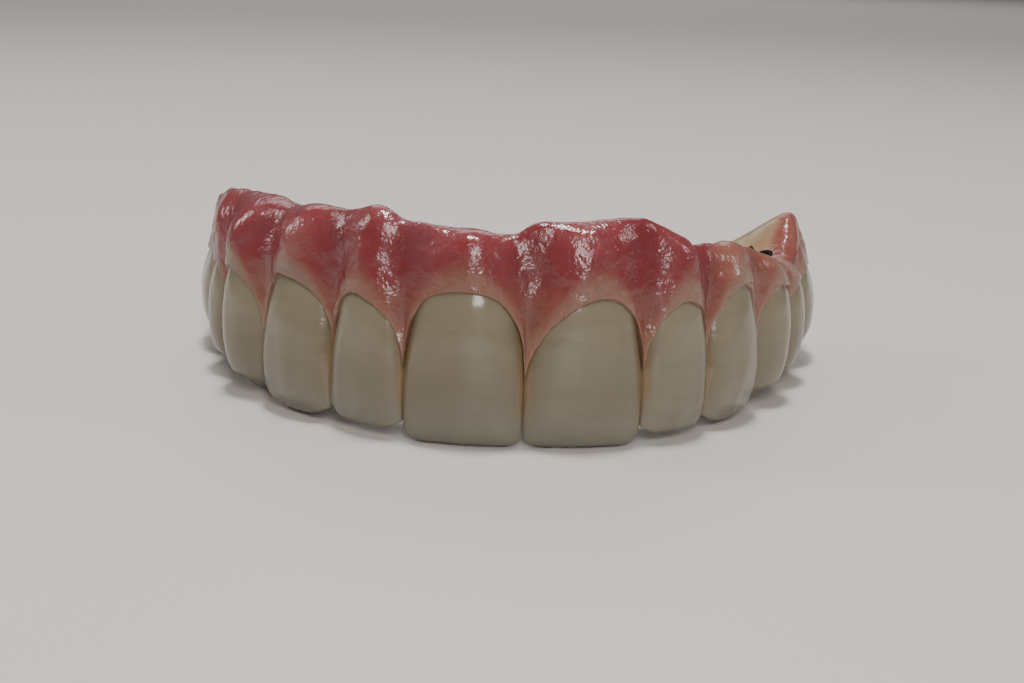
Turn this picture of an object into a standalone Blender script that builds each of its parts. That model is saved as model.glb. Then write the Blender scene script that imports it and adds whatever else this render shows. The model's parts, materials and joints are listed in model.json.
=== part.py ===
"""Upper full-arch dental bridge, lying on its biting edges.

Twelve teeth are bonded into a cream framework. Pink gum faces the framework on its outer side, and
six metal sleeves are let into the side that meets the ridge, each with its screw channel.

Units are metres, +Z points to the ridge, -Y to the lips. Everything is drawn along the arch: "along"
is the distance from the midline on the line of the biting edges, negative on the left of the view,
"depth" is the distance inwards from that line, and "height" is Z.
"""

import math

import bmesh
import bpy
import numpy as np
from mathutils import Matrix, Vector

# The line of the biting edges: y = ARCH_DEPTH * (x / ARCH_HALF_WIDTH) ** ARCH_POWER.
ARCH_HALF_WIDTH = 0.0265
ARCH_DEPTH = 0.0283
ARCH_POWER = 2.75
# How far each tooth stands out of that line, from the midline back.
STAND_OUT = {
    "left": (0.0000, 0.0000, 0.0006, 0.0019, 0.0011, -0.0003),
    "right": (0.0000, 0.0000, -0.0001, 0.0008, 0.0006, 0.0002),
}

# Clearance between pieces that are bonded to each other, and between neighbouring teeth.
BOND_GAP = 0.0003
# Width over which two of the gum's forms run into each other.
GUM_BLEND = 0.0005

# Width of each tooth along the arch, and its thickness from lip side to palate side.
CENTRAL_WIDTH = 0.0090
CENTRAL_THICKNESS = 0.0070
LATERAL_WIDTH = 0.0066
LATERAL_THICKNESS = 0.0064
CANINE_WIDTH = 0.0076
CANINE_THICKNESS = 0.0078
FIRST_PREMOLAR_WIDTH = 0.0070
FIRST_PREMOLAR_THICKNESS = 0.0088
SECOND_PREMOLAR_WIDTH = 0.0067
SECOND_PREMOLAR_THICKNESS = 0.0090
MOLAR_WIDTH = 0.0100
MOLAR_THICKNESS = 0.0104

# Heights above the table, from the midline back: over the middle of each tooth, and over the joint
# behind each tooth. The crest steps up just right of the midline, so two points are given there.
EDGE_LIFT = (0.0000, 0.0006, 0.0001, 0.0001, 0.0001, 0.0000)
CHEEK_CUSP_LIFT = (0.0, 0.0, 0.0, 0.0002, 0.0003, 0.0005)
MARGIN_HEIGHT = {
    "left": (0.0115, 0.0105, 0.0108, 0.0103, 0.0093, 0.0088),
    "right": (0.0113, 0.0106, 0.0109, 0.0098, 0.0090, 0.0086),
}
MIDLINE_PAPILLA_HEIGHT = 0.0049
PAPILLA_HEIGHT = (0.0056, 0.0060, 0.0055, 0.0052, 0.0050, 0.0058)
MIDLINE_CREST = ((-0.0011, 0.0154), (0.0013, 0.0163))
CREST_HEIGHT = {
    "left": (0.0157, 0.01665, 0.01585, 0.0156, 0.0151, 0.0139),
    "right": (0.0164, 0.0155, 0.0140, 0.0121, 0.0103, 0.0132),
}
CREST_JOINT_HEIGHT = {
    "left": (0.0158, 0.0161, 0.01535, 0.01535, 0.0146, 0.0123),
    "right": (0.0165, 0.01415, 0.0131, 0.0112, 0.0101, 0.0110),
}

# Depth of the gum's crest, and how far behind the crest the pink ends and the framework shows.
CREST_DEPTH = (0.0020, 0.0020, 0.0020, 0.0018, 0.0014, 0.0019)
PINK_BEHIND_CREST = {
    "left": (0.0012, 0.0010, 0.0006, 0.0006, 0.0020, 0.0012),
    "right": (0.0012, 0.0012, 0.0012, 0.0014, 0.0022, 0.0010),
}

# Gum over the teeth: its thickness at the margin, and how deep the grooves between roots lie.
GUM_COLLAR = 0.0006
ROOT_BULGE = {
    "left": (0.0004, 0.0003, 0.0006, 0.0004, 0.0002, -0.0008),
    "right": (0.0004, 0.0003, 0.0003, 0.0002, -0.0003, -0.0008),
}
ROOT_GROOVE_DEPTH = 0.0009
# Depth of the papillae between the teeth, and the height over which they run into the grooves.
PAPILLA_DEPTH = 0.0006
PAPILLA_RUN = 0.0030

# Framework: wall behind the teeth on the palate side, wall behind the last tooth, and the radius
# with which both gum and framework end there.
PALATE_WALL = 0.0016
END_WALL = 0.0013
END_ROUND = 0.0022

# How far up each tooth's neck reaches between gum margin and crest, how high the palate side's
# margin lies in the crown, and where the palate side's edge lies between that margin and the crest.
NECK_SHARE = 0.25
PALATE_MARGIN_SHARE = 0.72
PALATE_EDGE_SHARE = 0.3

# Metal sleeves with their screw channels, and the step along the arch that gives its direction.
ARCH_STEP = 0.0005
SLEEVE_RADIUS = 0.0020
SLEEVE_LENGTH = 0.0035
SLEEVE_BORE_RADIUS = 0.00115
SLEEVE_SEAT_RADIUS = 0.0008
SLEEVE_SEAT_HEIGHT = 0.0014
SLEEVE_CHAMFER = 0.00015
CHANNEL_RADIUS = 0.0012
# Tooth that each sleeve stands over, its place across that tooth in half widths, how far behind the
# crest it is, how far its mouth leans towards the midline and towards the lips in degrees, how far
# the mouth stands above the ridge side, and the radius of the opening above the mouth. The last
# sleeve is sunk, and its opening is narrower than the sleeve.
SLEEVE_PLACES = (
    (1, 0.0, 0.0032, 0.0, 0.0, 0.0002, SLEEVE_RADIUS + BOND_GAP),
    (3, 0.2, 0.0026, 0.0, 0.0, 0.0002, SLEEVE_RADIUS + BOND_GAP),
    (5, -0.84, 0.0019, 15.0, 12.0, -0.0003, 0.0009),
)

# Mesh fineness: points around a tooth, rows up its wall, rings across its bite, facets of a sleeve.
TOOTH_FACETS = 18
TOOTH_ROWS = 6
BITE_RINGS = 3
SLEEVE_FACETS = 18
STEPS_PER_TOOTH = (6, 6, 6, 6, 6, 8)

TOOTH_NAMES = (
    "central_incisor",
    "lateral_incisor",
    "canine",
    "first_premolar",
    "second_premolar",
    "first_molar",
)
TOOTH_WIDTHS = (
    CENTRAL_WIDTH,
    LATERAL_WIDTH,
    CANINE_WIDTH,
    FIRST_PREMOLAR_WIDTH,
    SECOND_PREMOLAR_WIDTH,
    MOLAR_WIDTH,
)
TOOTH_THICKNESSES = (
    CENTRAL_THICKNESS,
    LATERAL_THICKNESS,
    CANINE_THICKNESS,
    FIRST_PREMOLAR_THICKNESS,
    SECOND_PREMOLAR_THICKNESS,
    MOLAR_THICKNESS,
)
SIDES = {"left": -1.0, "right": 1.0}

# Crown profiles from the biting edge (0) to the gum margin (1) and on into the neck. Each row gives
# the share of the crown's height, the share of its width, and the lip face and palate face as
# shares of its thickness, measured inwards from the arch line.
INCISOR_PROFILE = (
    (0.00, 0.98, 0.010, 0.19),
    (0.10, 0.995, -0.030, 0.23),
    (0.25, 1.00, -0.070, 0.32),
    (0.45, 1.00, -0.090, 0.44),
    (0.62, 0.985, -0.085, 0.60),
    (0.76, 0.96, -0.066, 0.78),
    (0.90, 0.92, -0.036, 0.90),
    (1.00, 0.87, 0.010, 0.92),
    (1.20, 0.70, 0.100, 0.86),
)
CANINE_PROFILE = (
    (0.00, 0.90, 0.020, 0.20),
    (0.10, 0.95, -0.040, 0.27),
    (0.25, 0.99, -0.100, 0.40),
    (0.42, 1.00, -0.130, 0.55),
    (0.60, 0.985, -0.125, 0.72),
    (0.76, 0.955, -0.090, 0.85),
    (0.90, 0.91, -0.044, 0.91),
    (1.00, 0.86, 0.000, 0.91),
    (1.20, 0.70, 0.080, 0.86),
)
BACK_PROFILE = (
    (0.00, 0.82, 0.100, 0.83),
    (0.10, 0.90, 0.020, 0.90),
    (0.25, 0.98, -0.045, 0.96),
    (0.42, 1.00, -0.075, 1.00),
    (0.60, 0.99, -0.080, 1.00),
    (0.76, 0.96, -0.062, 0.97),
    (0.90, 0.92, -0.026, 0.92),
    (1.00, 0.88, 0.015, 0.88),
    (1.20, 0.74, 0.080, 0.82),
)

# Bite relief of each kind across the tooth and along the arch: where the cusp tips stand as a share
# of the half size, the height of the hollow between them, the rise from the tips to the rim, and
# the power of that rise. Tips point down, to the table.
INCISOR_BITE = ((0.0, 0.0, 0.00010, 2.0), (0.68, 0.0, 0.0008, 2.2))
LATERAL_BITE = ((0.0, 0.0, 0.00010, 2.0), (0.40, 0.0, 0.0013, 2.2))
CANINE_BITE = ((0.0, 0.0, 0.00015, 2.0), (0.25, 0.0, 0.0018, 1.8))
PREMOLAR_BITE = ((0.5, 0.0013, 0.0011, 2.0), (0.0, 0.0, 0.0017, 1.8))
MOLAR_BITE = ((0.5, 0.0013, 0.0012, 2.0), (0.46, 0.0008, 0.0011, 2.0))

# Roundness of the sections: powers of the curve along and across, and the share of the thickness
# at which a tooth is widest.
FRONT_SECTION = (2.6, 2.0, 0.38)
CANINE_SECTION = (2.3, 1.9, 0.42)
BACK_SECTION = (2.8, 2.2, 0.48)

KINDS = (
    (INCISOR_PROFILE, INCISOR_BITE, FRONT_SECTION),
    (INCISOR_PROFILE, LATERAL_BITE, FRONT_SECTION),
    (CANINE_PROFILE, CANINE_BITE, CANINE_SECTION),
    (BACK_PROFILE, PREMOLAR_BITE, BACK_SECTION),
    (BACK_PROFILE, PREMOLAR_BITE, BACK_SECTION),
    (BACK_PROFILE, MOLAR_BITE, BACK_SECTION),
)
# The corner towards the midline rises less than the one behind it, by this share.
FRONT_CORNER_SHARE = 0.45

# Where each margin is highest, behind the tooth's middle as a share of its half width, and how full
# the margin's arch is in front of that place and behind it.
ZENITH_SHIFT = {
    "left": (0.00, 0.16, 0.12, 0.10, 0.05, 0.0),
    "right": (0.18, -0.04, -0.08, -0.08, 0.00, 0.0),
}
SCALLOP_POWERS = {
    "left": ((2.4, 2.4), (1.8, 2.2), (2.1, 2.3), (1.8, 2.1), (1.9, 2.0), (2.0, 2.0)),
    "right": ((1.6, 2.2), (1.7, 2.0), (1.6, 2.0), (1.9, 2.0), (1.9, 2.0), (2.0, 2.0)),
}

# The gum's shoulder: how far up from margin to crest it starts, and how full its round is.
SHOULDER_POWER = 2.2
SHOULDER_START = {
    "left": (0.3, 0.3, 0.3, 0.3, 0.3, 0.3),
    "right": (0.3, 0.3, 0.05, 0.0, 0.0, 0.2),
}
# Height above a tooth's neck over which the gum leaves the tooth's shape.
NECK_RELEASE = 0.0015
RIDGE_FALL_POWER = 1.35

TOOTH_COLOUR = (0.52, 0.47, 0.36, 1.0)
GUM_COLOUR = (0.46, 0.10, 0.10, 1.0)
FRAMEWORK_COLOUR = (0.55, 0.47, 0.33, 1.0)
METAL_COLOUR = (0.20, 0.21, 0.20, 1.0)

ARCH_X = np.linspace(0.0, 2.0 * ARCH_HALF_WIDTH, 8001)
ARCH_Y = ARCH_DEPTH * (ARCH_X / ARCH_HALF_WIDTH) ** ARCH_POWER
ARCH_LENGTH = np.concatenate([[0.0], np.cumsum(np.hypot(np.diff(ARCH_X), np.diff(ARCH_Y)))])


def smooth_through(at, places, values):
    """Cubic curve through the given values, level at any value that is a local high or low."""
    places = np.asarray(places, float)
    values = np.asarray(values, float)
    steps = np.diff(values) / np.diff(places)
    inner = np.where(steps[1:] * steps[:-1] > 0.0, 2.0, 0.0) * steps[1:] * steps[:-1]
    total = steps[1:] + steps[:-1]
    slopes = np.concatenate([[steps[0]], inner / np.where(total == 0.0, 1.0, total), [steps[-1]]])
    at = np.clip(at, places[0], places[-1])
    left = np.clip(np.searchsorted(places, at) - 1, 0, len(places) - 2)
    span = places[left + 1] - places[left]
    t = (at - places[left]) / span
    return (
        values[left] * (1.0 + 2.0 * t) * (1.0 - t) ** 2
        + slopes[left] * span * t * (1.0 - t) ** 2
        + values[left + 1] * t**2 * (3.0 - 2.0 * t)
        + slopes[left + 1] * span * t**2 * (t - 1.0)
    )


def stand_out(along):
    """How far the row of teeth stands out of the arch line."""
    return smooth_through(along, *STAND_OUT_LINE)


def on_arch(along, depth, height):
    """Points of the model for distances along the arch, inwards from it and above the table."""
    along, depth, height = np.broadcast_arrays(along, depth, height)
    depth = depth - stand_out(along)
    x = np.interp(np.abs(along), ARCH_LENGTH, ARCH_X)
    rise = ARCH_DEPTH * ARCH_POWER / ARCH_HALF_WIDTH * (x / ARCH_HALF_WIDTH) ** (ARCH_POWER - 1.0)
    run = np.hypot(1.0, rise)
    y = np.interp(x, ARCH_X, ARCH_Y)
    side = np.where(along < 0.0, -1.0, 1.0)
    return np.stack([side * (x - rise / run * depth), y + depth / run, height], axis=-1)


def soft_minimum(first, second, blend=GUM_BLEND):
    """Smaller of two values, rounded where they meet."""
    mix = np.clip(0.5 + 0.5 * (second - first) / blend, 0.0, 1.0)
    return second + (first - second) * mix - blend * mix * (1.0 - mix)


class Tooth:
    """One tooth: where it stands on the arch and how its crown, bite and neck run."""

    def __init__(self, side, index, start):
        self.side = side
        self.sign = SIDES[side]
        self.index = index
        self.name = f"tooth_{side}_{TOOTH_NAMES[index]}"
        self.width = TOOTH_WIDTHS[index]
        self.thickness = TOOTH_THICKNESSES[index]
        self.middle = self.sign * (start + self.width / 2.0)
        self.profile, self.bite, self.section = KINDS[index]
        self.lift = EDGE_LIFT[index]
        self.cheek_lift = CHEEK_CUSP_LIFT[index]
        self.margin = MARGIN_HEIGHT[side][index]
        self.crest = CREST_HEIGHT[side][index]
        self.palate_margin = self.margin * PALATE_MARGIN_SHARE
        palate_edge = self.palate_margin + PALATE_EDGE_SHARE * (self.crest - self.palate_margin)
        self.lip_top = self.margin + NECK_SHARE * (self.crest - self.margin)
        self.palate_top = self.palate_margin + NECK_SHARE * (palate_edge - self.palate_margin)

    def sizes(self, height):
        """Half width and the depths of the lip face, widest line and palate face at a height."""
        share = (height - self.lift) / (self.margin - self.lift)
        up, wide, front, back = np.array(self.profile).T
        half = smooth_through(share, up, wide) * (self.width - BOND_GAP) / 2.0
        lip = smooth_through(share, up, front) * self.thickness
        palate = smooth_through(share, up, back) * self.thickness
        return half, lip, lip + (palate - lip) * self.section[2], palate

    def bite_height(self, along_share, across_share):
        """Height of the bite surface, with its lowest cusp on the table or at the tooth's lift."""
        height = np.zeros_like(along_share)
        for share, (tip, hollow, rise, power) in zip((across_share, along_share), self.bite):
            place = np.abs(share)
            outside = rise * (np.clip(place - tip, 0.0, 1.0) / (1.0 - tip)) ** power
            if share is along_share:
                outside = outside * np.where(self.sign * share > 0.0, 1.0, FRONT_CORNER_SHARE)
            inside = hollow * (1.0 - (place / max(tip, 0.01)) ** 2) ** 2
            height = height + np.where(place < tip, inside, outside)
        return self.lift + height + self.cheek_lift * (0.5 - 0.5 * across_share)

    def front_depth(self, along, height):
        """Depth of the tooth's lip face, and the widest line's depth where the face has ended."""
        half, lip, widest, _ = self.sizes(height)
        power_along, power_across, _ = self.section
        share = np.clip(np.abs(along - self.middle) / half, 0.0, 1.0)
        return widest - (widest - lip) * (1.0 - share**power_along) ** (1.0 / power_across)

    def rings(self, grow):
        """Rings of points from the middle of the bite, out over its rim and up to the neck's top."""
        power_along, power_across, _ = self.section
        angles = np.arange(TOOTH_FACETS) * 2.0 * math.pi / TOOTH_FACETS
        cosine, sine = np.cos(angles), np.sin(angles)
        along_share = np.sign(cosine) * np.abs(cosine) ** (2.0 / power_along)
        across_share = np.sign(sine) * np.abs(sine) ** (2.0 / power_across)

        def section(height):
            half, lip, widest, palate = self.sizes(height)
            reach = np.where(across_share > 0.0, palate - widest, widest - lip) + grow
            return self.middle + along_share * (half + grow), widest + across_share * reach

        rim = self.bite_height(along_share, across_share)
        top = self.lip_top + (self.palate_top - self.lip_top) * (0.5 + 0.5 * across_share)
        rim_along, rim_depth = section(rim)
        centre = rim_depth.mean()
        rings = []
        for ring in range(1, BITE_RINGS + 1):
            share = ring / BITE_RINGS
            height = self.bite_height(along_share * share, across_share * share) - grow
            along = self.middle + (rim_along - self.middle) * share
            rings.append((along, centre + (rim_depth - centre) * share, height))
        for row in range(1, TOOTH_ROWS + 1):
            height = rim + (top - rim) * row / TOOTH_ROWS
            along, depth = section(height)
            rings.append((along, depth, height + grow * row / TOOTH_ROWS))
        bite_middle = self.bite_height(np.zeros(1), np.zeros(1))[0] - grow
        neck_middle = (rings[-1][1].mean(), rings[-1][2].mean())
        return rings, (centre, bite_middle), neck_middle

    def mesh(self, name, grow=0.0):
        """Closed mesh of the tooth, or of its cutter where it is grown by a clearance."""
        rings, (bite_depth, bite_height), (neck_depth, neck_height) = self.rings(grow)
        points = [on_arch(self.middle, bite_depth, bite_height)[None]]
        points += [on_arch(*ring) for ring in rings]
        points.append(on_arch(self.middle, neck_depth, neck_height)[None])
        faces = []
        for facet in range(TOOTH_FACETS):
            following = (facet + 1) % TOOTH_FACETS
            faces.append((0, 1 + following, 1 + facet))
            for ring in range(len(rings) - 1):
                low, high = 1 + ring * TOOTH_FACETS, 1 + (ring + 1) * TOOTH_FACETS
                faces.append((low + facet, low + following, high + following, high + facet))
            last = 1 + (len(rings) - 1) * TOOTH_FACETS
            faces.append((last + facet, last + following, last + TOOTH_FACETS))
        return closed_mesh(name, np.concatenate(points), faces)


class Sleeve:
    """One metal sleeve: its axis over the tooth that it stands on."""

    def __init__(self, tooth, place):
        _, across, behind_crest, lean_in, lean_out, stand, self.opening = place
        self.name = f"implant_sleeve_{tooth.side}_{TOOTH_NAMES[tooth.index]}"
        self.along = tooth.middle + tooth.sign * across * tooth.width / 2.0
        self.depth = float(crest_depth(self.along)) + behind_crest
        self.height = float(ridge_height(self.along, self.depth)) + stand
        ahead, here = on_arch(np.array([self.along - tooth.sign * ARCH_STEP, self.along]), 0.0, 0.0)
        inward = on_arch(self.along, 1.0, 0.0) - on_arch(self.along, 0.0, 0.0)
        forward = (ahead - here) / np.linalg.norm(ahead - here)
        axis = forward * math.tan(math.radians(lean_in)) - inward * math.tan(math.radians(lean_out))
        axis[2] = 1.0
        self.axis = axis / np.linalg.norm(axis)
        self.mouth = on_arch(self.along, self.depth, self.height)

    def turned(self, name, profile, hollow):
        """Closed mesh turned about the sleeve's axis from (radius, height above mouth) points."""
        first = np.cross(self.axis, [0.0, 1.0, 0.0])
        first /= np.linalg.norm(first)
        second = np.cross(self.axis, first)
        angles = np.arange(SLEEVE_FACETS) * 2.0 * math.pi / SLEEVE_FACETS
        rounds = np.outer(np.cos(angles), first) + np.outer(np.sin(angles), second)
        points = [self.mouth + self.axis * height + rounds * radius for radius, height in profile]
        count = len(profile)
        faces = []
        for ring in range(count if hollow else count - 1):
            low, high = ring * SLEEVE_FACETS, (ring + 1) % count * SLEEVE_FACETS
            for facet in range(SLEEVE_FACETS):
                following = (facet + 1) % SLEEVE_FACETS
                faces.append((low + facet, low + following, high + following, high + facet))
        if not hollow:
            faces.append(tuple(range(SLEEVE_FACETS)))
            faces.append(tuple(range((count - 1) * SLEEVE_FACETS, count * SLEEVE_FACETS)))
        return closed_mesh(name, np.concatenate(points), faces)

    def mesh(self):
        """The sleeve: a tube with a chamfered mouth and a narrower seat for the screw's head."""
        profile = (
            (SLEEVE_RADIUS, -SLEEVE_LENGTH),
            (SLEEVE_RADIUS, -SLEEVE_CHAMFER),
            (SLEEVE_RADIUS - SLEEVE_CHAMFER, 0.0),
            (SLEEVE_BORE_RADIUS + SLEEVE_CHAMFER, 0.0),
            (SLEEVE_BORE_RADIUS, -SLEEVE_CHAMFER),
            (SLEEVE_BORE_RADIUS, -SLEEVE_LENGTH + SLEEVE_SEAT_HEIGHT),
            (SLEEVE_SEAT_RADIUS, -SLEEVE_LENGTH + SLEEVE_SEAT_HEIGHT / 2.0),
            (SLEEVE_SEAT_RADIUS, -SLEEVE_LENGTH),
        )
        return self.turned(self.name, profile, hollow=True)

    def pocket(self):
        """Cutter for the sleeve's seat, with the opening above it and the screw channel below it."""
        outer = SLEEVE_RADIUS + BOND_GAP
        floor = -SLEEVE_LENGTH - BOND_GAP
        profile = [(CHANNEL_RADIUS, floor - self.height), (CHANNEL_RADIUS, floor), (outer, floor)]
        if self.opening < outer:
            profile += [(outer, BOND_GAP), (self.opening, BOND_GAP)]
        profile.append((self.opening, self.height))
        return as_cutter(self.turned(f"{self.name}_pocket", profile, hollow=False))


def closed_mesh(name, points, faces):
    """Object with a closed mesh whose faces point outwards."""
    mesh = bpy.data.meshes.new(name)
    work = bmesh.new()
    corners = [work.verts.new(point) for point in points]
    for face in faces:
        work.faces.new([corners[corner] for corner in face])
    bmesh.ops.recalc_face_normals(work, faces=work.faces)
    bmesh.ops.triangulate(work, faces=work.faces)
    work.to_mesh(mesh)
    work.free()
    thing = bpy.data.objects.new(name, mesh)
    bpy.context.collection.objects.link(thing)
    return thing


def lay_out_teeth():
    """All twelve teeth, from the last on the left to the last on the right."""
    teeth = []
    for side in SIDES:
        start = 0.0
        for index, width in enumerate(TOOTH_WIDTHS):
            teeth.append(Tooth(side, index, start))
            start += width
    return sorted(teeth, key=lambda tooth: tooth.middle)


TEETH = lay_out_teeth()
ARCH_END = sum(TOOTH_WIDTHS)


def tooth_and_joint_line(at_tooth, at_joint, at_midline):
    """Places along the arch and values, for a line that has one value a tooth and one a joint."""
    places = [place for place, _ in at_midline]
    values = [value for _, value in at_midline]
    for side, sign in SIDES.items():
        start = 0.0
        for index, width in enumerate(TOOTH_WIDTHS):
            places += [sign * (start + width / 2.0), sign * (start + width)]
            values += [at_tooth[side][index], at_joint[side][index]]
            start += width
    order = np.argsort(places)
    return np.array(places)[order], np.array(values)[order]


def tooth_line(at_tooth):
    """Places along the arch and values, for a line that has one value a tooth."""
    places = [tooth.middle for tooth in TEETH]
    values = [at_tooth[tooth.side][tooth.index] for tooth in TEETH]
    return np.array(places), np.array(values)


def both(values):
    """The same values for both sides."""
    return {side: values for side in SIDES}


CREST_LINE = tooth_and_joint_line(CREST_HEIGHT, CREST_JOINT_HEIGHT, MIDLINE_CREST)
STAND_OUT_LINE = tooth_line(STAND_OUT)
CREST_DEPTH_LINE = tooth_line(both(CREST_DEPTH))
PINK_LINE = tooth_line(PINK_BEHIND_CREST)
MARGIN_LINE = tooth_line(MARGIN_HEIGHT)
BULGE_LINE = tooth_line(ROOT_BULGE)
SHOULDER_LINE = tooth_line(SHOULDER_START)
THICKNESS_LINE = tooth_line(both(TOOTH_THICKNESSES))


def scallop(along, highest):
    """Height of a margin that arches over each tooth and dips to the papilla at each joint."""
    height = np.zeros_like(along)
    joints = np.array([MIDLINE_PAPILLA_HEIGHT, *PAPILLA_HEIGHT])
    edges = np.concatenate([[0.0], np.cumsum(TOOTH_WIDTHS)])
    papilla = np.interp(np.clip(np.abs(along), 0.0, ARCH_END), edges, joints)
    for tooth in TEETH:
        place = tooth.sign * (along - tooth.middle) / (tooth.width / 2.0)
        shift = ZENITH_SHIFT[tooth.side][tooth.index]
        behind = place > shift
        share = np.where(behind, place - shift, shift - place) / np.where(behind, 1.0 - shift, 1.0 + shift)
        in_front, at_back = SCALLOP_POWERS[tooth.side][tooth.index]
        power = np.where(behind, at_back, in_front)
        bow = np.clip(1.0 - share**power, 0.0, 1.0) ** (1.0 / power)
        arch = papilla + (highest(tooth) - papilla) * bow
        height = np.where(np.abs(place) <= 1.0, arch, height)
    return np.where(height == 0.0, papilla, height)


def lip_margin(along):
    """Height at which the gum meets the teeth on the lip side."""
    return scallop(along, lambda tooth: tooth.margin)


def palate_margin(along):
    """Height at which the framework meets the teeth on the palate side."""
    return scallop(along, lambda tooth: tooth.palate_margin)


def crest_height(along):
    """Height of the gum's crest."""
    return smooth_through(along, *CREST_LINE)


def crest_depth(along):
    """Depth of the gum's crest, which keeps to the arch line where the teeth stand out of it."""
    return smooth_through(along, *CREST_DEPTH_LINE) + stand_out(along)


def palate_depth(along):
    """Depth of the framework's palate face."""
    return smooth_through(along, *THICKNESS_LINE) + PALATE_WALL


def palate_edge_height(along):
    """Height of the rounded edge between ridge side and palate side."""
    margin = smooth_through(along, *MARGIN_LINE) * PALATE_MARGIN_SHARE
    return margin + PALATE_EDGE_SHARE * (crest_height(along) - margin)


def ridge_height(along, depth):
    """Height of the surface that meets the ridge, falling from the crest to the palate edge."""
    start = crest_depth(along)
    share = np.clip((depth - start) / (palate_depth(along) - start), 0.0, 1.0)
    fall = np.sin(share * math.pi / 2.0) ** RIDGE_FALL_POWER
    return crest_height(along) + (palate_edge_height(along) - crest_height(along)) * fall


def root_columns(along, height):
    """Depth of the gum's face: bulging over each root, grooved over each joint."""
    bulge = -smooth_through(along, *BULGE_LINE)
    above_margins = np.clip((height - smooth_through(along, *MARGIN_LINE)) / PAPILLA_RUN, 0.0, 1.0)
    groove = PAPILLA_DEPTH + (ROOT_GROOVE_DEPTH - PAPILLA_DEPTH) * above_margins
    depth = groove
    for tooth in TEETH:
        share = np.abs(along - tooth.middle) / (tooth.width / 2.0)
        column = bulge + (groove - bulge) * np.sin(share * math.pi / 2.0) ** 2
        depth = np.where(share <= 1.0, column, depth)
    return depth


def gum_face(along, height):
    """Depth of the gum's lip face below its shoulder, at least a collar in front of each tooth."""
    depth = root_columns(along, height)
    for tooth in TEETH:
        near = np.abs(along - tooth.middle) <= tooth.width / 2.0
        released = np.clip(height - tooth.lip_top, 0.0, None) ** 2 / NECK_RELEASE
        covered = soft_minimum(depth, tooth.front_depth(along, height) - GUM_COLLAR + released)
        depth = np.where(near, covered, depth)
    return depth


def stations():
    """Places along the arch at which the gum and framework are drawn, closer at the joints."""
    places = []
    for tooth in TEETH:
        turns = np.linspace(-1.0, 1.0, STEPS_PER_TOOTH[tooth.index] + 1)[1:]
        places += list(tooth.middle + np.sin(turns * math.pi / 2.0) * tooth.width / 2.0)
    rounding = END_WALL * np.array([0.4, 0.75, 1.0])
    return np.concatenate([-ARCH_END - rounding[::-1], [-ARCH_END], places, ARCH_END + rounding])


def rounded_end(along, depth, height):
    """Draws a section in towards its middle where the bridge ends behind the last tooth."""
    share = np.clip((np.abs(along) - ARCH_END - END_WALL + END_ROUND) / END_ROUND, 0.0, 1.0)
    scale = (1.0 - 0.85 * share**3) ** (1.0 / 3.0)
    middle_depth = crest_depth(along) + smooth_through(along, *PINK_LINE)
    middle_height = palate_edge_height(along)
    drawn_depth = middle_depth + (depth - middle_depth) * scale
    return drawn_depth, middle_height + (height - middle_height) * scale


def loft(name, sections):
    """Closed solid through sections of (depth, height) points, one for each station."""
    along = stations()
    rows = []
    for depth, height in sections:
        rows.append(on_arch(along, *rounded_end(along, depth, height)))
    points = np.stack(rows, axis=1)
    around = points.shape[1]
    faces = [tuple(range(around)), tuple(range(points[:-1].size // 3, points.size // 3))]
    for station in range(len(along) - 1):
        near, far = station * around, (station + 1) * around
        for point in range(around):
            following = (point + 1) % around
            faces.append((near + point, near + following, far + following, far + point))
    return closed_mesh(name, points.reshape(-1, 3), faces)


def gum_sections():
    """Outline of the gum facing at every station: lip face, shoulder, crest, back, underside."""
    along = stations()
    crest = crest_height(along)
    margin = lip_margin(along)
    zenith = smooth_through(along, *MARGIN_LINE)
    shoulder = zenith + smooth_through(along, *SHOULDER_LINE) * (crest - zenith)
    top_depth = crest_depth(along)
    back = top_depth + smooth_through(along, *PINK_LINE) - BOND_GAP / 2.0
    rows = []
    for share in (0.0, 0.3, 0.65):
        height = margin + (shoulder - margin) * share
        rows.append((gum_face(along, height), height))
    for angle in (0.0, 25.0, 48.0, 70.0, 90.0):
        rise = math.sin(math.radians(angle)) ** (2.0 / SHOULDER_POWER)
        lean = 1.0 - abs(math.cos(math.radians(angle))) ** (2.0 / SHOULDER_POWER)
        height = shoulder + (crest - shoulder) * rise
        face = gum_face(along, height)
        rows.append((face + (top_depth - face) * lean, height))
    rows.append((back, ridge_height(along, back)))
    rows.append((back, (ridge_height(along, back) + margin) / 2.0))
    rows.append((back, margin))
    return rows


def framework_sections():
    """Outline of the framework at every station: front, ridge side, palate side, underside."""
    along = stations()
    front = crest_depth(along) + smooth_through(along, *PINK_LINE) + BOND_GAP / 2.0
    palate = palate_depth(along)
    edge = palate_edge_height(along)
    lip, inner = lip_margin(along), palate_margin(along)
    rows = [(front, lip), (front, (ridge_height(along, front) + lip) / 2.0)]
    for share in (0.0, 0.2, 0.42, 0.66, 0.88):
        depth = front + (palate - front) * share
        rows.append((depth, ridge_height(along, depth)))
    rows.append((palate, edge - 0.15 * (edge - inner)))
    rows.append((palate, inner + 0.4 * (edge - inner)))
    rows.append((palate - PALATE_WALL * 0.3, inner))
    rows.append(((front + palate) / 2.0, (lip + inner) / 2.0))
    return rows


def as_cutter(thing):
    """Marks an object as a shape that is only taken out of others."""
    thing.hide_render = True
    thing.display_type = "WIRE"
    return thing


def cut(thing, cutters):
    """Takes cutters out of an object, all in one step because they meet each other."""
    collection = bpy.data.collections.new(f"{thing.name}_cutters")
    for cutter in cutters:
        collection.objects.link(cutter)
    modifier = thing.modifiers.new("sockets", "BOOLEAN")
    modifier.operation = "DIFFERENCE"
    modifier.solver = "EXACT"
    modifier.operand_type = "COLLECTION"
    modifier.collection = collection


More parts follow.
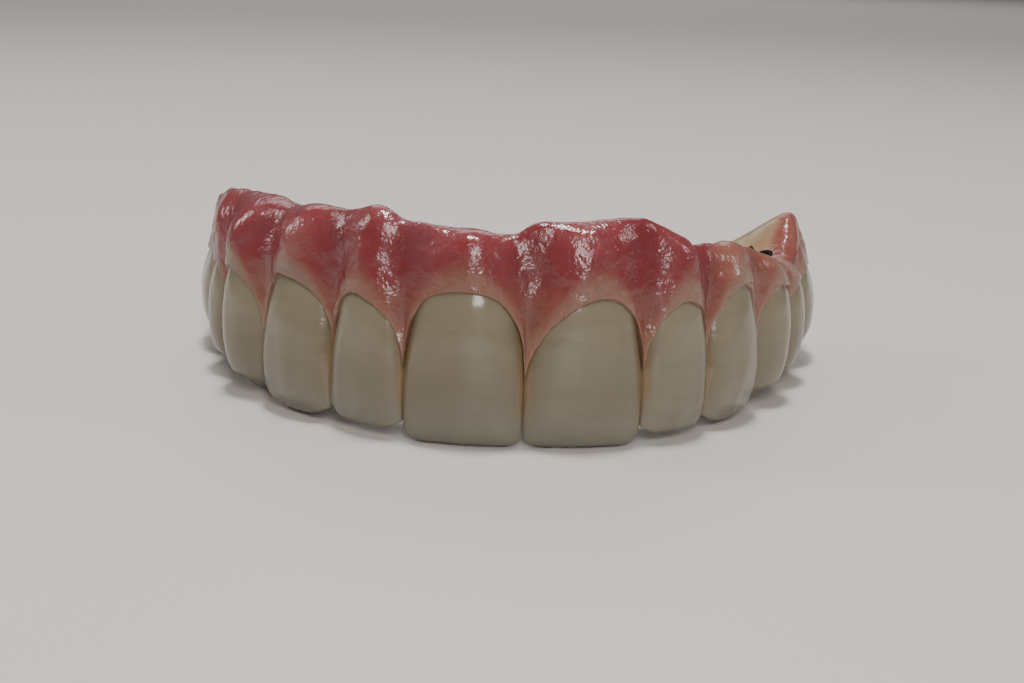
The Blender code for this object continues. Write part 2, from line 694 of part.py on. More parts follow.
def finish(thing, name, colour, roughness, metallic):
    """Gives an object its own Principled material and smooth shading between its sharp edges."""
    material = bpy.data.materials.new(name)
    material.use_nodes = True
    shader = material.node_tree.nodes["Principled BSDF"]
    shader.inputs["Base Color"].default_value = colour
    shader.inputs["Roughness"].default_value = roughness
    shader.inputs["Metallic"].default_value = metallic
    thing.data.materials.append(material)
    thing.data.shade_smooth()
    thing.data.set_sharp_from_angle(angle=math.radians(40.0))


def stand_on_origin(things):
    """Moves the whole bridge so that the origin is under the middle of its box."""
    corners = np.concatenate([[corner.co[:] for corner in thing.data.vertices] for thing in things])
    low, high = corners.min(axis=0), corners.max(axis=0)
    middle = Vector(((low[0] + high[0]) / 2.0, (low[1] + high[1]) / 2.0, low[2]))
    for thing in bpy.data.objects:
        thing.data.transform(Matrix.Translation(-middle))


def main():
    """Builds every piece of the bridge."""
    for thing in list(bpy.data.objects):
        bpy.data.objects.remove(thing)
    gum = loft("gum_facing", gum_sections())
    framework = loft("framework", framework_sections())
    sleeves, crowns, sockets = [], [], []
    for side in SIDES:
        row = [tooth for tooth in TEETH if tooth.side == side]
        row.sort(key=lambda tooth: abs(tooth.middle))
        for place in SLEEVE_PLACES:
            sleeves.append(Sleeve(row[place[0]], place))
    pockets = [sleeve.pocket() for sleeve in sleeves]
    for tooth in TEETH:
        crown = tooth.mesh(tooth.name)
        socket = as_cutter(tooth.mesh(f"{tooth.name}_socket", BOND_GAP))
        near = [
            pocket
            for pocket, sleeve in zip(pockets, sleeves)
            if abs(sleeve.along - tooth.middle) < tooth.width
        ]
        if near:
            cut(crown, near)
        crowns.append(crown)
        sockets.append(socket)
        finish(crown, crown.name, TOOTH_COLOUR, 0.25, 0.0)
    cut(gum, sockets + pockets)
    cut(framework, sockets + pockets)
    finish(gum, "gum_facing", GUM_COLOUR, 0.2, 0.0)
    finish(framework, "framework", FRAMEWORK_COLOUR, 0.3, 0.0)
    metal = [sleeve.mesh() for sleeve in sleeves]
    for thing in metal:
        finish(thing, thing.name, METAL_COLOUR, 0.35, 1.0)
    stand_on_origin([gum, framework, *crowns, *metal])


main()
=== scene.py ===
"""Look of an upper full-arch denture that lies on its biting edges on a pale table.

Teeth, gum, framework and sleeves are drawn with the rules that the solids were drawn with, at a finer
step. "along" is the distance from the midline on the line of the biting edges, negative on the left
of the view, "depth" the distance inwards from that line, "height" is Z. All lengths are metres.
"""

import json
import math

import bmesh
import bpy
import numpy as np
from bpy.props import FloatProperty, FloatVectorProperty, IntProperty, PointerProperty
from mathutils import Euler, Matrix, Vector, noise

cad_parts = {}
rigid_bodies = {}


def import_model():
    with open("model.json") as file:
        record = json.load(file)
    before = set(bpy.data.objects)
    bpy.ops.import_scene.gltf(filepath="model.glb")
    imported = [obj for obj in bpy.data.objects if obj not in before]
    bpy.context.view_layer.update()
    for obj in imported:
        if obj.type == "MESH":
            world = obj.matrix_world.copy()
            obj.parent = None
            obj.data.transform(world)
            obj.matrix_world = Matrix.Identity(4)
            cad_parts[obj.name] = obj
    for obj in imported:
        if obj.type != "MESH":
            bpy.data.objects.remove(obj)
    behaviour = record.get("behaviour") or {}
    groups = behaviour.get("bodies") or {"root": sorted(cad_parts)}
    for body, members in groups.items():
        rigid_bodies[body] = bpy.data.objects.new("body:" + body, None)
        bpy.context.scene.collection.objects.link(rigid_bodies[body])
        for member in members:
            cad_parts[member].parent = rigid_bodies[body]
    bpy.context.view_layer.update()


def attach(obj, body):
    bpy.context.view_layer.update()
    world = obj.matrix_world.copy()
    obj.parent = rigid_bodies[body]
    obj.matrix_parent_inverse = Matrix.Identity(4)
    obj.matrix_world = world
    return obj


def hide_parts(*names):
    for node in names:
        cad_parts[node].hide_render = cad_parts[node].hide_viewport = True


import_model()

bl_info = {
    "name": "Full Arch Denture",
    "version": (1, 0, 0),
    "blender": (4, 5, 0),
    "location": "3D View > Sidebar > Denture",
    "description": "Dresses the solids of an upper full-arch denture",
    "category": "Object",
}

MILLIMETRES = 1000.0

# Signs of the distances along the arch.
SIDES = {"left": -1.0, "right": 1.0}

# The line of the biting edges, and where its lowest point lies in the frame.
ARCH_HALF_WIDTH = 0.0265
ARCH_DEPTH = 0.0283
ARCH_POWER = 2.75
ARCH_PLACE = (-0.00023724, -0.01816743, 0.0)
ARCH_POINTS = 8001
# How far each tooth stands out of that line.
STAND_OUT = {
    "left": (0.0000, 0.0000, 0.0006, 0.0019, 0.0011, -0.0003),
    "right": (0.0000, 0.0000, -0.0001, 0.0008, 0.0006, 0.0002),
}

# Teeth from the midline back: width along the arch, thickness from lips to palate, and how far the
# bite stays off the table, for all of it and for the cheek side more.
TOOTH_NAMES = (
    "central_incisor",
    "lateral_incisor",
    "canine",
    "first_premolar",
    "second_premolar",
    "first_molar",
)
TOOTH_WIDTHS = (0.0090, 0.0066, 0.0076, 0.0070, 0.0067, 0.0100)
TOOTH_THICKNESSES = (0.0070, 0.0064, 0.0078, 0.0088, 0.0090, 0.0104)
EDGE_LIFT = (0.0000, 0.0006, 0.0001, 0.0001, 0.0001, 0.0000)
CHEEK_CUSP_LIFT = (0.0, 0.0, 0.0, 0.0002, 0.0003, 0.0005)

# Heights of the gum's margin over each tooth and of the papillae between the teeth.
MARGIN_HEIGHT = {
    "left": (0.0115, 0.0105, 0.0108, 0.0103, 0.0093, 0.0088),
    "right": (0.0113, 0.0106, 0.0109, 0.0098, 0.0090, 0.0086),
}
MIDLINE_PAPILLA_HEIGHT = 0.0049
PAPILLA_HEIGHT = (0.0056, 0.0060, 0.0055, 0.0052, 0.0050, 0.0058)

# The gum's crest: heights beside the midline, over each tooth and over each joint, and its depth.
MIDLINE_CREST = ((-0.0011, 0.0154), (0.0013, 0.0163))
CREST_HEIGHT = {
    "left": (0.0157, 0.01665, 0.01585, 0.0156, 0.0151, 0.0139),
    "right": (0.0164, 0.0155, 0.0140, 0.0121, 0.0103, 0.0132),
}
CREST_JOINT_HEIGHT = {
    "left": (0.0158, 0.0161, 0.01535, 0.01535, 0.0146, 0.0123),
    "right": (0.0165, 0.01415, 0.0131, 0.0112, 0.0101, 0.0110),
}
CREST_DEPTH = (0.0020, 0.0020, 0.0020, 0.0018, 0.0014, 0.0019)

# How far the pink goes on behind the crest, and how the gum's face swells over each root and sinks
# over each joint.
PINK_BEHIND_CREST = {
    "left": (0.0012, 0.0010, 0.0006, 0.0006, 0.0020, 0.0012),
    "right": (0.0012, 0.0012, 0.0012, 0.0014, 0.0022, 0.0010),
}
ROOT_BULGE = {
    "left": (0.0004, 0.0003, 0.0006, 0.0004, 0.0002, -0.0008),
    "right": (0.0004, 0.0003, 0.0003, 0.0002, -0.0003, -0.0008),
}
ROOT_GROOVE_DEPTH = 0.0009
PAPILLA_DEPTH = 0.0006
PAPILLA_RUN = 0.0030
# Width of the rounding where the gum's face meets a tooth's cover.
GUM_BLEND = 0.0006

# The framework's wall behind the teeth, and how the bridge rounds off behind the last teeth.
PALATE_WALL = 0.0016
END_WALL = 0.0013
END_ROUND = 0.0022
END_STATIONS = 12
END_PINCH = 0.97
# How far up from margin to crest the crowns reach, how low the palate margin is against the lip
# margin, and how far up from there to the crest the palate edge lies.
NECK_SHARE = 0.25
PALATE_MARGIN_SHARE = 0.72
PALATE_EDGE_SHARE = 0.3

# Sleeves and their channels. A bed is the space left round a sleeve.
SLEEVE_RADIUS = 0.0020
SLEEVE_LENGTH = 0.0035
SLEEVE_BORE_RADIUS = 0.00115
SLEEVE_SEAT_RADIUS = 0.0008
SLEEVE_SEAT_HEIGHT = 0.0014
SLEEVE_CHAMFER = 0.00015
CHANNEL_RADIUS = 0.0012
SLEEVE_BED = 0.00008
SUNK_BED = 0.0003
POCKET_FACETS = 48
# How near to a tooth's middle a sleeve stands that is cut into it, in widths of the tooth.
POCKET_REACH = 0.8
# Tooth, place behind its middle in half widths, distance behind the crest, leans towards the midline
# and outwards in degrees, height over the ridge side, and radius of the opening above.
SLEEVE_PLACES = (
    (1, 0.0, 0.0032, 0.0, 0.0, 0.0002, SLEEVE_RADIUS + SLEEVE_BED),
    (3, 0.2, 0.0026, 0.0, 0.0, 0.0002, SLEEVE_RADIUS + SLEEVE_BED),
    (5, -0.84, 0.0019, 15.0, 12.0, -0.0003, 0.0009),
)

# Crown profiles from the biting edge (0) to the gum margin (1): share of height, share of width, and
# the lip and palate faces as shares of the thickness.
INCISOR_PROFILE = (
    (0.00, 0.98, 0.010, 0.19),
    (0.10, 0.995, -0.030, 0.23),
    (0.25, 1.00, -0.070, 0.32),
    (0.45, 1.00, -0.090, 0.44),
    (0.62, 0.985, -0.085, 0.60),
    (0.76, 0.96, -0.066, 0.78),
    (0.90, 0.92, -0.036, 0.90),
    (1.00, 0.87, 0.010, 0.92),
    (1.20, 0.70, 0.100, 0.86),
)
CANINE_PROFILE = (
    (0.00, 0.90, 0.020, 0.20),
    (0.10, 0.95, -0.040, 0.27),
    (0.25, 0.99, -0.100, 0.40),
    (0.42, 1.00, -0.130, 0.55),
    (0.60, 0.985, -0.125, 0.72),
    (0.76, 0.955, -0.090, 0.85),
    (0.90, 0.91, -0.044, 0.91),
    (1.00, 0.86, 0.000, 0.91),
    (1.20, 0.70, 0.080, 0.86),
)
BACK_PROFILE = (
    (0.00, 0.82, 0.100, 0.83),
    (0.10, 0.90, 0.020, 0.90),
    (0.25, 0.98, -0.045, 0.96),
    (0.42, 1.00, -0.075, 1.00),
    (0.60, 0.99, -0.080, 1.00),
    (0.76, 0.96, -0.062, 0.97),
    (0.90, 0.92, -0.026, 0.92),
    (1.00, 0.88, 0.015, 0.88),
    (1.20, 0.74, 0.080, 0.82),
)
# Bites, across the tooth and along it: the cusp's place, the hollow inside it, the rise outside it and
# how fast that comes.
INCISOR_BITE = ((0.0, 0.0, 0.00010, 2.0), (0.68, 0.0, 0.0008, 2.2))
LATERAL_BITE = ((0.0, 0.0, 0.00010, 2.0), (0.40, 0.0, 0.0013, 2.2))
CANINE_BITE = ((0.0, 0.0, 0.00015, 2.0), (0.25, 0.0, 0.0018, 1.8))
PREMOLAR_BITE = ((0.5, 0.0013, 0.0011, 2.0), (0.0, 0.0, 0.0017, 1.8))
MOLAR_BITE = ((0.5, 0.0013, 0.0012, 2.0), (0.46, 0.0008, 0.0011, 2.0))
# Sections: how full they are along and across, and how deep their widest line lies.
FRONT_SECTION = (2.6, 2.0, 0.38)
CANINE_SECTION = (2.3, 1.9, 0.42)
BACK_SECTION = (2.8, 2.2, 0.48)
# Profile, bite, section and rounding of the rim, for each tooth.
KINDS = (
    (INCISOR_PROFILE, INCISOR_BITE, FRONT_SECTION, 0.00032),
    (INCISOR_PROFILE, LATERAL_BITE, FRONT_SECTION, 0.00032),
    (CANINE_PROFILE, CANINE_BITE, CANINE_SECTION, 0.00040),
    (BACK_PROFILE, PREMOLAR_BITE, BACK_SECTION, 0.00060),
    (BACK_PROFILE, PREMOLAR_BITE, BACK_SECTION, 0.00060),
    (BACK_PROFILE, MOLAR_BITE, BACK_SECTION, 0.00060),
)
# The corner towards the midline rises less than the one behind it, by this share.
FRONT_CORNER_SHARE = 0.45
BITE_RINGS = 12
RIM_ROWS = 7
# Where the profiles end, on the height that is 1 at the margin.
PROFILE_TOP = 1.2

# Where each margin is highest, behind the tooth's middle as a share of its half width, and how full
# the margin's arch is in front of that place and behind it.
ZENITH_SHIFT = {
    "left": (0.00, 0.16, 0.12, 0.10, 0.05, 0.0),
    "right": (0.18, -0.04, -0.08, -0.08, 0.00, 0.0),
}
SCALLOP_POWERS = {
    "left": ((2.4, 2.4), (1.8, 2.2), (2.1, 2.3), (1.8, 2.1), (1.9, 2.0), (2.0, 2.0)),
    "right": ((1.6, 2.2), (1.7, 2.0), (1.6, 2.0), (1.9, 2.0), (1.9, 2.0), (2.0, 2.0)),
}

# The gum's shoulder: how far up from margin to crest it starts, and how full its round is.
SHOULDER_POWER = 2.2
SHOULDER_START = {
    "left": (0.3, 0.3, 0.3, 0.3, 0.3, 0.3),
    "right": (0.3, 0.3, 0.05, 0.0, 0.0, 0.2),
}
# Height above a tooth's neck over which the gum leaves the tooth's shape.
NECK_RELEASE = 0.0015
# How late the ridge side falls from the crest to the palate edge.
RIDGE_FALL_POWER = 1.35

# Spacing and reach of the smoothing of the gum's face along the arch.
SMOOTHING_STEP = 0.00005
SMOOTHING_REACH = 0.00045

# How far each tooth goes towards the pale enamel.
TOOTH_PALENESS = {
    "left": (0.20, 0.35, 0.60, 0.35, 0.35, 0.35),
    "right": (0.05, 0.85, 0.95, 0.70, 0.40, 0.40),
}

# Finer than the solids: touching teeth, lobes on their lip faces and thin gum collars.
TOOTH_TOUCH = -0.00003
LOBE_DEPTH = 0.00005
LOBE_SPACING = 0.33
LOBE_END = 1.1
# How far the gum lies in front of the teeth at its margin and above it, and the height between.
COLLAR = 0.00032
COLLAR_ABOVE = 0.00060
COLLAR_RUN = 0.0015
# Share of the collar's thickness above the margin that the right rear lacks, and where it starts.
THIN_COLLAR = 0.50
THIN_COLLAR_START = 0.021
THIN_COLLAR_RUN = 0.008
# The rows in which the gum tucks in behind its margin: how far down and how far inwards.
COLLAR_TUCK = (
    (0.0016, 0.0024),
    (0.0006, 0.0012),
    (0.00018, 0.00042),
    (0.00006, 0.00018),
    (-0.00002, 0.00005),
)
# Rows of the gum's face, from a little above the margin up to the shoulder and over it.
GUM_FACE_START = 0.00012
GUM_FACE_ROWS = 33
GUM_FACE_CROWDING = 1.3
SHOULDER_ROWS = 25
# How much closer the stations along the arch are at the joints than over the roots.
JOINT_CROWDING = 1.25

# The framework: how far its ridge side goes before it turns down, the height of that turn, how far
# the palate side draws in to the teeth, and how deep its underside goes behind them.
RIDGE_SHARE = 0.90
RIDGE_ROWS = 22
PALATE_TURN_SHARE = 0.35
PALATE_TURN_ROWS = 8
PALATE_DRAW_IN = 1.15
PALATE_ROWS = 13
UNDERSIDE_SHARE = 1.9
UNDERSIDE_DROP = 0.0002

# The smooth noise on a surface: size of its waves, height of its waves, and seed.
CROWN_WAVES = (0.0035, 0.00006)
CROWN_WAVES_SEED = 900.0
GUM_SWELLS = (0.0026, 0.00022, 5.0)
GUM_DIMPLES = (0.0011, 0.00008, 9.0)
FRAMEWORK_SWELLS = (0.0040, 0.00015, 3.0)
# Millimetres from the seam of gum and framework over which the noise grows.
SEAM_CALM = 0.8
SHARP_EDGE = math.radians(48.0)

# The rings turned into a sleeve: how far over its foot they start, how much of its length they leave
# free, their depth, and where each is deep and where it ends, as shares of its pitch.
RINGS_START = 0.0004
RINGS_MARGIN = 0.0014
RING_DEPTH = 0.00012
RING_SHARES = (0.15, 0.45, 0.6)
FOOT_CHAMFER = 0.0001
# How near points are that become one where a turned sleeve closes, and the angle of its edges.
SEAM_MERGE = 0.000002
METAL_SHARP_EDGE = math.radians(35.0)

ARCH_X = np.linspace(0.0, 2.0 * ARCH_HALF_WIDTH, ARCH_POINTS)
ARCH_Y = ARCH_DEPTH * (ARCH_X / ARCH_HALF_WIDTH) ** ARCH_POWER
ARCH_LENGTH = np.concatenate([[0.0], np.cumsum(np.hypot(np.diff(ARCH_X), np.diff(ARCH_Y)))])


def smooth_through(at, places, values):
    """Cubic curve through the given values, level at any value that is a local high or low."""
    places = np.asarray(places, float)
    values = np.asarray(values, float)
    steps = np.diff(values) / np.diff(places)
    inner = np.where(steps[1:] * steps[:-1] > 0.0, 2.0, 0.0) * steps[1:] * steps[:-1]
    total = steps[1:] + steps[:-1]
    slopes = np.concatenate([[steps[0]], inner / np.where(total == 0.0, 1.0, total), [steps[-1]]])
    at = np.clip(at, places[0], places[-1])
    left = np.clip(np.searchsorted(places, at) - 1, 0, len(places) - 2)
    span = places[left + 1] - places[left]
    t = (at - places[left]) / span
    return (
        values[left] * (1.0 + 2.0 * t) * (1.0 - t) ** 2
        + slopes[left] * span * t * (1.0 - t) ** 2
        + values[left + 1] * t**2 * (3.0 - 2.0 * t)
        + slopes[left + 1] * span * t**2 * (t - 1.0)
    )


def on_arch(along, depth, height):
    """Points of the frame for distances along the arch, inwards from it and above the table."""
    along, depth, height = np.broadcast_arrays(along, depth, height)
    depth = depth - smooth_through(along, *STAND_OUT_LINE)
    x = np.interp(np.abs(along), ARCH_LENGTH, ARCH_X)
    rise = ARCH_DEPTH * ARCH_POWER / ARCH_HALF_WIDTH * (x / ARCH_HALF_WIDTH) ** (ARCH_POWER - 1.0)
    run = np.hypot(1.0, rise)
    y = np.interp(x, ARCH_X, ARCH_Y)
    side = np.where(along < 0.0, -1.0, 1.0)
    points = np.stack([side * (x - rise / run * depth), y + depth / run, height], axis=-1)
    return points + np.array(ARCH_PLACE)


def soft_minimum(first, second):
    """Smaller of two depths, rounded where they meet."""
    mix = np.clip(0.5 + 0.5 * (second - first) / GUM_BLEND, 0.0, 1.0)
    return second + (first - second) * mix - GUM_BLEND * mix * (1.0 - mix)


def skin(rings, around, first=0):
    """Faces between each ring of points and the next."""
    faces = []
    for low in range(first, first + (rings - 1) * around, around):
        for point in range(around):
            following = (point + 1) % around
            faces.append((low + point, low + following, low + around + following, low + around + point))
    return faces


def capped_skin(rings, around):
    """Faces of a closed tube: both ends, and what lies between its rings."""
    ends = [tuple(range(around)), tuple(range((rings - 1) * around, rings * around))]
    return ends + skin(rings, around)


def placed(name, data):
    """Object with the given data, linked to the scene."""
    made = bpy.data.objects.new(name, data)
    bpy.context.scene.collection.objects.link(made)
    return made


def smooth_outward(mesh):
    """Turns a closed mesh's faces outwards and shades it smooth."""
    work = bmesh.new()
    work.from_mesh(mesh)
    bmesh.ops.recalc_face_normals(work, faces=work.faces)
    work.to_mesh(mesh)
    work.free()
    mesh.shade_smooth()


def closed_piece(name, points, faces, extras):
    """Object with a closed mesh and one attribute for each extra."""
    mesh = bpy.data.meshes.new(name)
    mesh.from_pydata(points.tolist(), [], faces)
    for label, values in extras.items():
        attribute = mesh.attributes.new(label, "FLOAT", "POINT")
        attribute.data.foreach_set("value", values.astype(np.float32))
    smooth_outward(mesh)
    return placed(name, mesh)


class Tooth:
    """One tooth: where it stands on the arch and how its crown, bite and neck run."""

    def __init__(self, side, index, start):
        self.side = side
        self.sign = SIDES[side]
        self.index = index
        self.name = f"tooth_{side}_{TOOTH_NAMES[index]}"
        self.width = TOOTH_WIDTHS[index]
        self.thickness = TOOTH_THICKNESSES[index]
        self.middle = self.sign * (start + self.width / 2.0)
        self.profile, self.bite, self.section, self.rounding = KINDS[index]
        self.lift = EDGE_LIFT[index]
        self.cheek_lift = CHEEK_CUSP_LIFT[index]
        self.margin = MARGIN_HEIGHT[side][index]
        self.crest = CREST_HEIGHT[side][index]
        self.palate_margin = self.margin * PALATE_MARGIN_SHARE
        palate_edge = self.palate_margin + PALATE_EDGE_SHARE * (self.crest - self.palate_margin)
        self.lip_top = self.margin + NECK_SHARE * (self.crest - self.margin)
        self.palate_top = self.palate_margin + NECK_SHARE * (palate_edge - self.palate_margin)

    def sizes(self, height):
        """Half width and the depths of the lip face, widest line and palate face at a height."""
        share = self.up_share(height)
        up, wide, front, back = np.array(self.profile).T
        half = smooth_through(share, up, wide) * (self.width - TOOTH_TOUCH) / 2.0
        lip = smooth_through(share, up, front) * self.thickness
        palate = smooth_through(share, up, back) * self.thickness
        return half, lip, lip + (palate - lip) * self.section[2], palate

    def bite_height(self, along_share, across_share):
        """Height of the bite surface, with its lowest cusp on the table or at the tooth's lift."""
        height = np.zeros_like(along_share)
        for share, (tip, hollow, rise, power) in zip((across_share, along_share), self.bite):
            place = np.abs(share)
            outside = rise * (np.clip(place - tip, 0.0, 1.0) / (1.0 - tip)) ** power
            if share is along_share:
                outside = outside * np.where(self.sign * share > 0.0, 1.0, FRONT_CORNER_SHARE)
            inside = hollow * (1.0 - (place / max(tip, 0.01)) ** 2) ** 2
            height = height + np.where(place < tip, inside, outside)
        return self.lift + height + self.cheek_lift * (0.5 - 0.5 * across_share)

    def front_depth(self, along, height):
        """Depth of the tooth's lip face, and the widest line's depth where the face has ended."""
        half, lip, widest, _ = self.sizes(height)
        power_along, power_across, _ = self.section
        share = np.clip(np.abs(along - self.middle) / half, 0.0, 1.0)
        return widest - (widest - lip) * (1.0 - share**power_along) ** (1.0 / power_across)

    def up_share(self, height):
        """0 at the bite, 1 at the gum's margin."""
        return (height - self.lift) / (self.margin - self.lift)

    def rings(self, facets, rows):
        """Rings from the middle of the bite over its rounded rim up to the neck, and their centre."""
        power_along, power_across, _ = self.section
        angles = np.arange(facets) * 2.0 * math.pi / facets
        cosine, sine = np.cos(angles), np.sin(angles)
        along_share = np.sign(cosine) * np.abs(cosine) ** (2.0 / power_along)
        across_share = np.sign(sine) * np.abs(sine) ** (2.0 / power_across)

        def section(height, inset):
            half, lip, widest, palate = self.sizes(height)
            reach = np.where(across_share > 0.0, palate - widest, widest - lip)
            return self.middle + along_share * (half - inset), widest + across_share * (reach - inset)

        def lobes(height):
            up = np.clip(self.up_share(height), 0.0, PROFILE_TOP)
            fade = np.clip(LOBE_END - up, 0.0, 1.0) * np.clip(-across_share, 0.0, 1.0) ** 2
            return -LOBE_DEPTH * np.cos(along_share * math.pi / LOBE_SPACING) * fade

        rim = self.bite_height(along_share, across_share)
        inner_along, inner_depth = section(rim, self.rounding)
        centre = inner_depth.mean()
        rings = []
        for ring in range(1, BITE_RINGS + 1):
            share = ring / BITE_RINGS
            height = self.bite_height(along_share * share, across_share * share)
            along = self.middle + (inner_along - self.middle) * share
            rings.append((along, centre + (inner_depth - centre) * share, height))
        for row in range(1, RIM_ROWS + 1):
            turn = row / RIM_ROWS * math.pi / 2.0
            height = rim + self.rounding * (1.0 - math.cos(turn))
            along, depth = section(height, self.rounding * (1.0 - math.sin(turn)))
            rings.append((along, depth + lobes(height) * math.sin(turn), height))
        low = rim + self.rounding
        top = self.lip_top + (self.palate_top - self.lip_top) * (0.5 + 0.5 * across_share)
        for row in range(1, rows + 1):
            height = low + (top - low) * row / rows
            along, depth = section(height, 0.0)
            rings.append((along, depth + lobes(height), height))
        return rings, centre

    def mesh(self, settings):
        """Closed crown with the shares that the enamel's finish reads."""
        facets = settings.facets
        rings, centre = self.rings(facets, settings.rows)
        bite = self.bite_height(np.zeros(1), np.zeros(1))
        points = [on_arch(self.middle, centre, bite)]
        points += [on_arch(*ring) for ring in rings]
        points.append(on_arch(self.middle, rings[-1][1].mean(), rings[-1][2].mean())[None])
        up = [self.up_share(height) for _, _, height in rings]
        side = [(along - self.middle) / (self.width / 2.0) for along, _, _ in rings]
        last = 1 + (len(rings) - 1) * facets
        faces = skin(len(rings), facets, 1)
        for facet in range(facets):
            following = (facet + 1) % facets
            faces.append((0, 1 + following, 1 + facet))
            faces.append((last + facet, last + following, last + facets))
        extras = {
            "up": np.concatenate([[0.0], *up, [PROFILE_TOP]]),
            "side": np.concatenate([[0.0], *side, [0.0]]),
            "paleness": np.full(last + facets + 1, TOOTH_PALENESS[self.side][self.index]),
        }
        return closed_piece(self.name + "_crown", np.concatenate(points), faces, extras)


class Sleeve:
    """One metal sleeve: its axis over the tooth that it stands on."""

    # How far ahead the arch's direction is read.
    STEP = 0.0005

    def __init__(self, tooth, place):
        _, across, behind_crest, lean_in, lean_out, stand, self.opening = place
        self.node = f"implant_sleeve_{tooth.side}_{TOOTH_NAMES[tooth.index]}"
        self.along = tooth.middle + tooth.sign * across * tooth.width / 2.0
        self.depth = float(crest_depth(self.along)) + behind_crest
        self.height = float(ridge_height(self.along, self.depth)) + stand
        ahead, here = on_arch(np.array([self.along - tooth.sign * self.STEP, self.along]), 0.0, 0.0)
        inward = on_arch(self.along, 1.0, 0.0) - on_arch(self.along, 0.0, 0.0)
        forward = (ahead - here) / np.linalg.norm(ahead - here)
        axis = forward * math.tan(math.radians(lean_in)) - inward * math.tan(math.radians(lean_out))
        axis[2] = 1.0
        self.axis = axis / np.linalg.norm(axis)
        self.mouth = on_arch(self.along, self.depth, self.height)

    def pocket(self):
        """Closed cutter for the sleeve's seat, the opening above it and the channel below it."""
        bed = SUNK_BED if self.opening < SLEEVE_RADIUS else SLEEVE_BED
        outer = SLEEVE_RADIUS + bed
        floor = -SLEEVE_LENGTH - bed
        profile = [(CHANNEL_RADIUS, floor - self.height), (CHANNEL_RADIUS, floor), (outer, floor)]
        if self.opening < outer:
            profile += [(outer, bed), (self.opening, bed)]
        profile.append((self.opening, self.height))
        first = np.cross(self.axis, [0.0, 1.0, 0.0])
        first /= np.linalg.norm(first)
        second = np.cross(self.axis, first)
        angles = np.arange(POCKET_FACETS) * 2.0 * math.pi / POCKET_FACETS
        rounds = np.outer(np.cos(angles), first) + np.outer(np.sin(angles), second)
        points = [self.mouth + self.axis * height + rounds * radius for radius, height in profile]
        faces = capped_skin(len(profile), POCKET_FACETS)
        return closed_piece(self.node + "_pocket", np.concatenate(points), faces, {})


def lay_out_teeth():
    """All twelve teeth, from the last on the left to the last on the right."""
    teeth = []
    for side in SIDES:
        start = 0.0
        for index, width in enumerate(TOOTH_WIDTHS):
            teeth.append(Tooth(side, index, start))
            start += width
    return sorted(teeth, key=lambda tooth: tooth.middle)


TEETH = lay_out_teeth()
ARCH_END = sum(TOOTH_WIDTHS)


def tooth_line(at_tooth):
    """Places along the arch and values, for a line that has one value a tooth."""
    places = [tooth.middle for tooth in TEETH]
    values = [at_tooth[tooth.side][tooth.index] for tooth in TEETH]
    return np.array(places), np.array(values)


def tooth_and_joint_line(at_tooth, at_joint, at_midline):
    """Places along the arch and values, for a line that has one value a tooth and one a joint."""
    places = [place for place, _ in at_midline]
    values = [value for _, value in at_midline]
    for side, sign in SIDES.items():
        start = 0.0
        for index, width in enumerate(TOOTH_WIDTHS):
            places += [sign * (start + width / 2.0), sign * (start + width)]
            values += [at_tooth[side][index], at_joint[side][index]]
            start += width
    order = np.argsort(places)
    return np.array(places)[order], np.array(values)[order]


def both(values):
    """The same values for both sides."""
    return {side: values for side in SIDES}


STAND_OUT_LINE = tooth_line(STAND_OUT)
CREST_LINE = tooth_and_joint_line(CREST_HEIGHT, CREST_JOINT_HEIGHT, MIDLINE_CREST)
CREST_DEPTH_LINE = tooth_line(both(CREST_DEPTH))
PINK_LINE = tooth_line(PINK_BEHIND_CREST)
MARGIN_LINE = tooth_line(MARGIN_HEIGHT)
BULGE_LINE = tooth_line(ROOT_BULGE)
SHOULDER_LINE = tooth_line(SHOULDER_START)
THICKNESS_LINE = tooth_line(both(TOOTH_THICKNESSES))


def scallop(along, highest):
    """Height of a margin that arches over each tooth and dips to the papilla at each joint."""
    height = np.zeros_like(along)
    joints = np.array([MIDLINE_PAPILLA_HEIGHT, *PAPILLA_HEIGHT])
    edges = np.concatenate([[0.0], np.cumsum(TOOTH_WIDTHS)])
    papilla = np.interp(np.clip(np.abs(along), 0.0, ARCH_END), edges, joints)
    for tooth in TEETH:
        place = tooth.sign * (along - tooth.middle) / (tooth.width / 2.0)
        shift = ZENITH_SHIFT[tooth.side][tooth.index]
        behind = place > shift
        share = np.where(behind, (place - shift) / (1.0 - shift), (shift - place) / (1.0 + shift))
        in_front, at_back = SCALLOP_POWERS[tooth.side][tooth.index]
        power = np.where(behind, at_back, in_front)
        bow = np.clip(1.0 - share**power, 0.0, 1.0) ** (1.0 / power)
        arch = papilla + (highest(tooth) - papilla) * bow
        height = np.where(np.abs(place) <= 1.0, arch, height)
    return np.where(height == 0.0, papilla, height)


def lip_margin(along):
    """Height at which the gum meets the teeth on the lip side."""
    return scallop(along, lambda tooth: tooth.margin)


def palate_margin(along):
    """Height at which the framework meets the teeth on the palate side."""
    return scallop(along, lambda tooth: tooth.palate_margin)


def crest_height(along):
    """Height of the gum's crest."""
    return smooth_through(along, *CREST_LINE)


def crest_depth(along):
    """Depth of the gum's crest, which keeps to the arch line where the teeth stand out of it."""
    return smooth_through(along, *CREST_DEPTH_LINE) + smooth_through(along, *STAND_OUT_LINE)


def palate_depth(along):
    """Depth of the framework's palate face."""
    return smooth_through(along, *THICKNESS_LINE) + PALATE_WALL


def palate_edge_height(along):
    """Height of the rounded edge between ridge side and palate side."""
    margin = smooth_through(along, *MARGIN_LINE) * PALATE_MARGIN_SHARE
    return margin + PALATE_EDGE_SHARE * (crest_height(along) - margin)


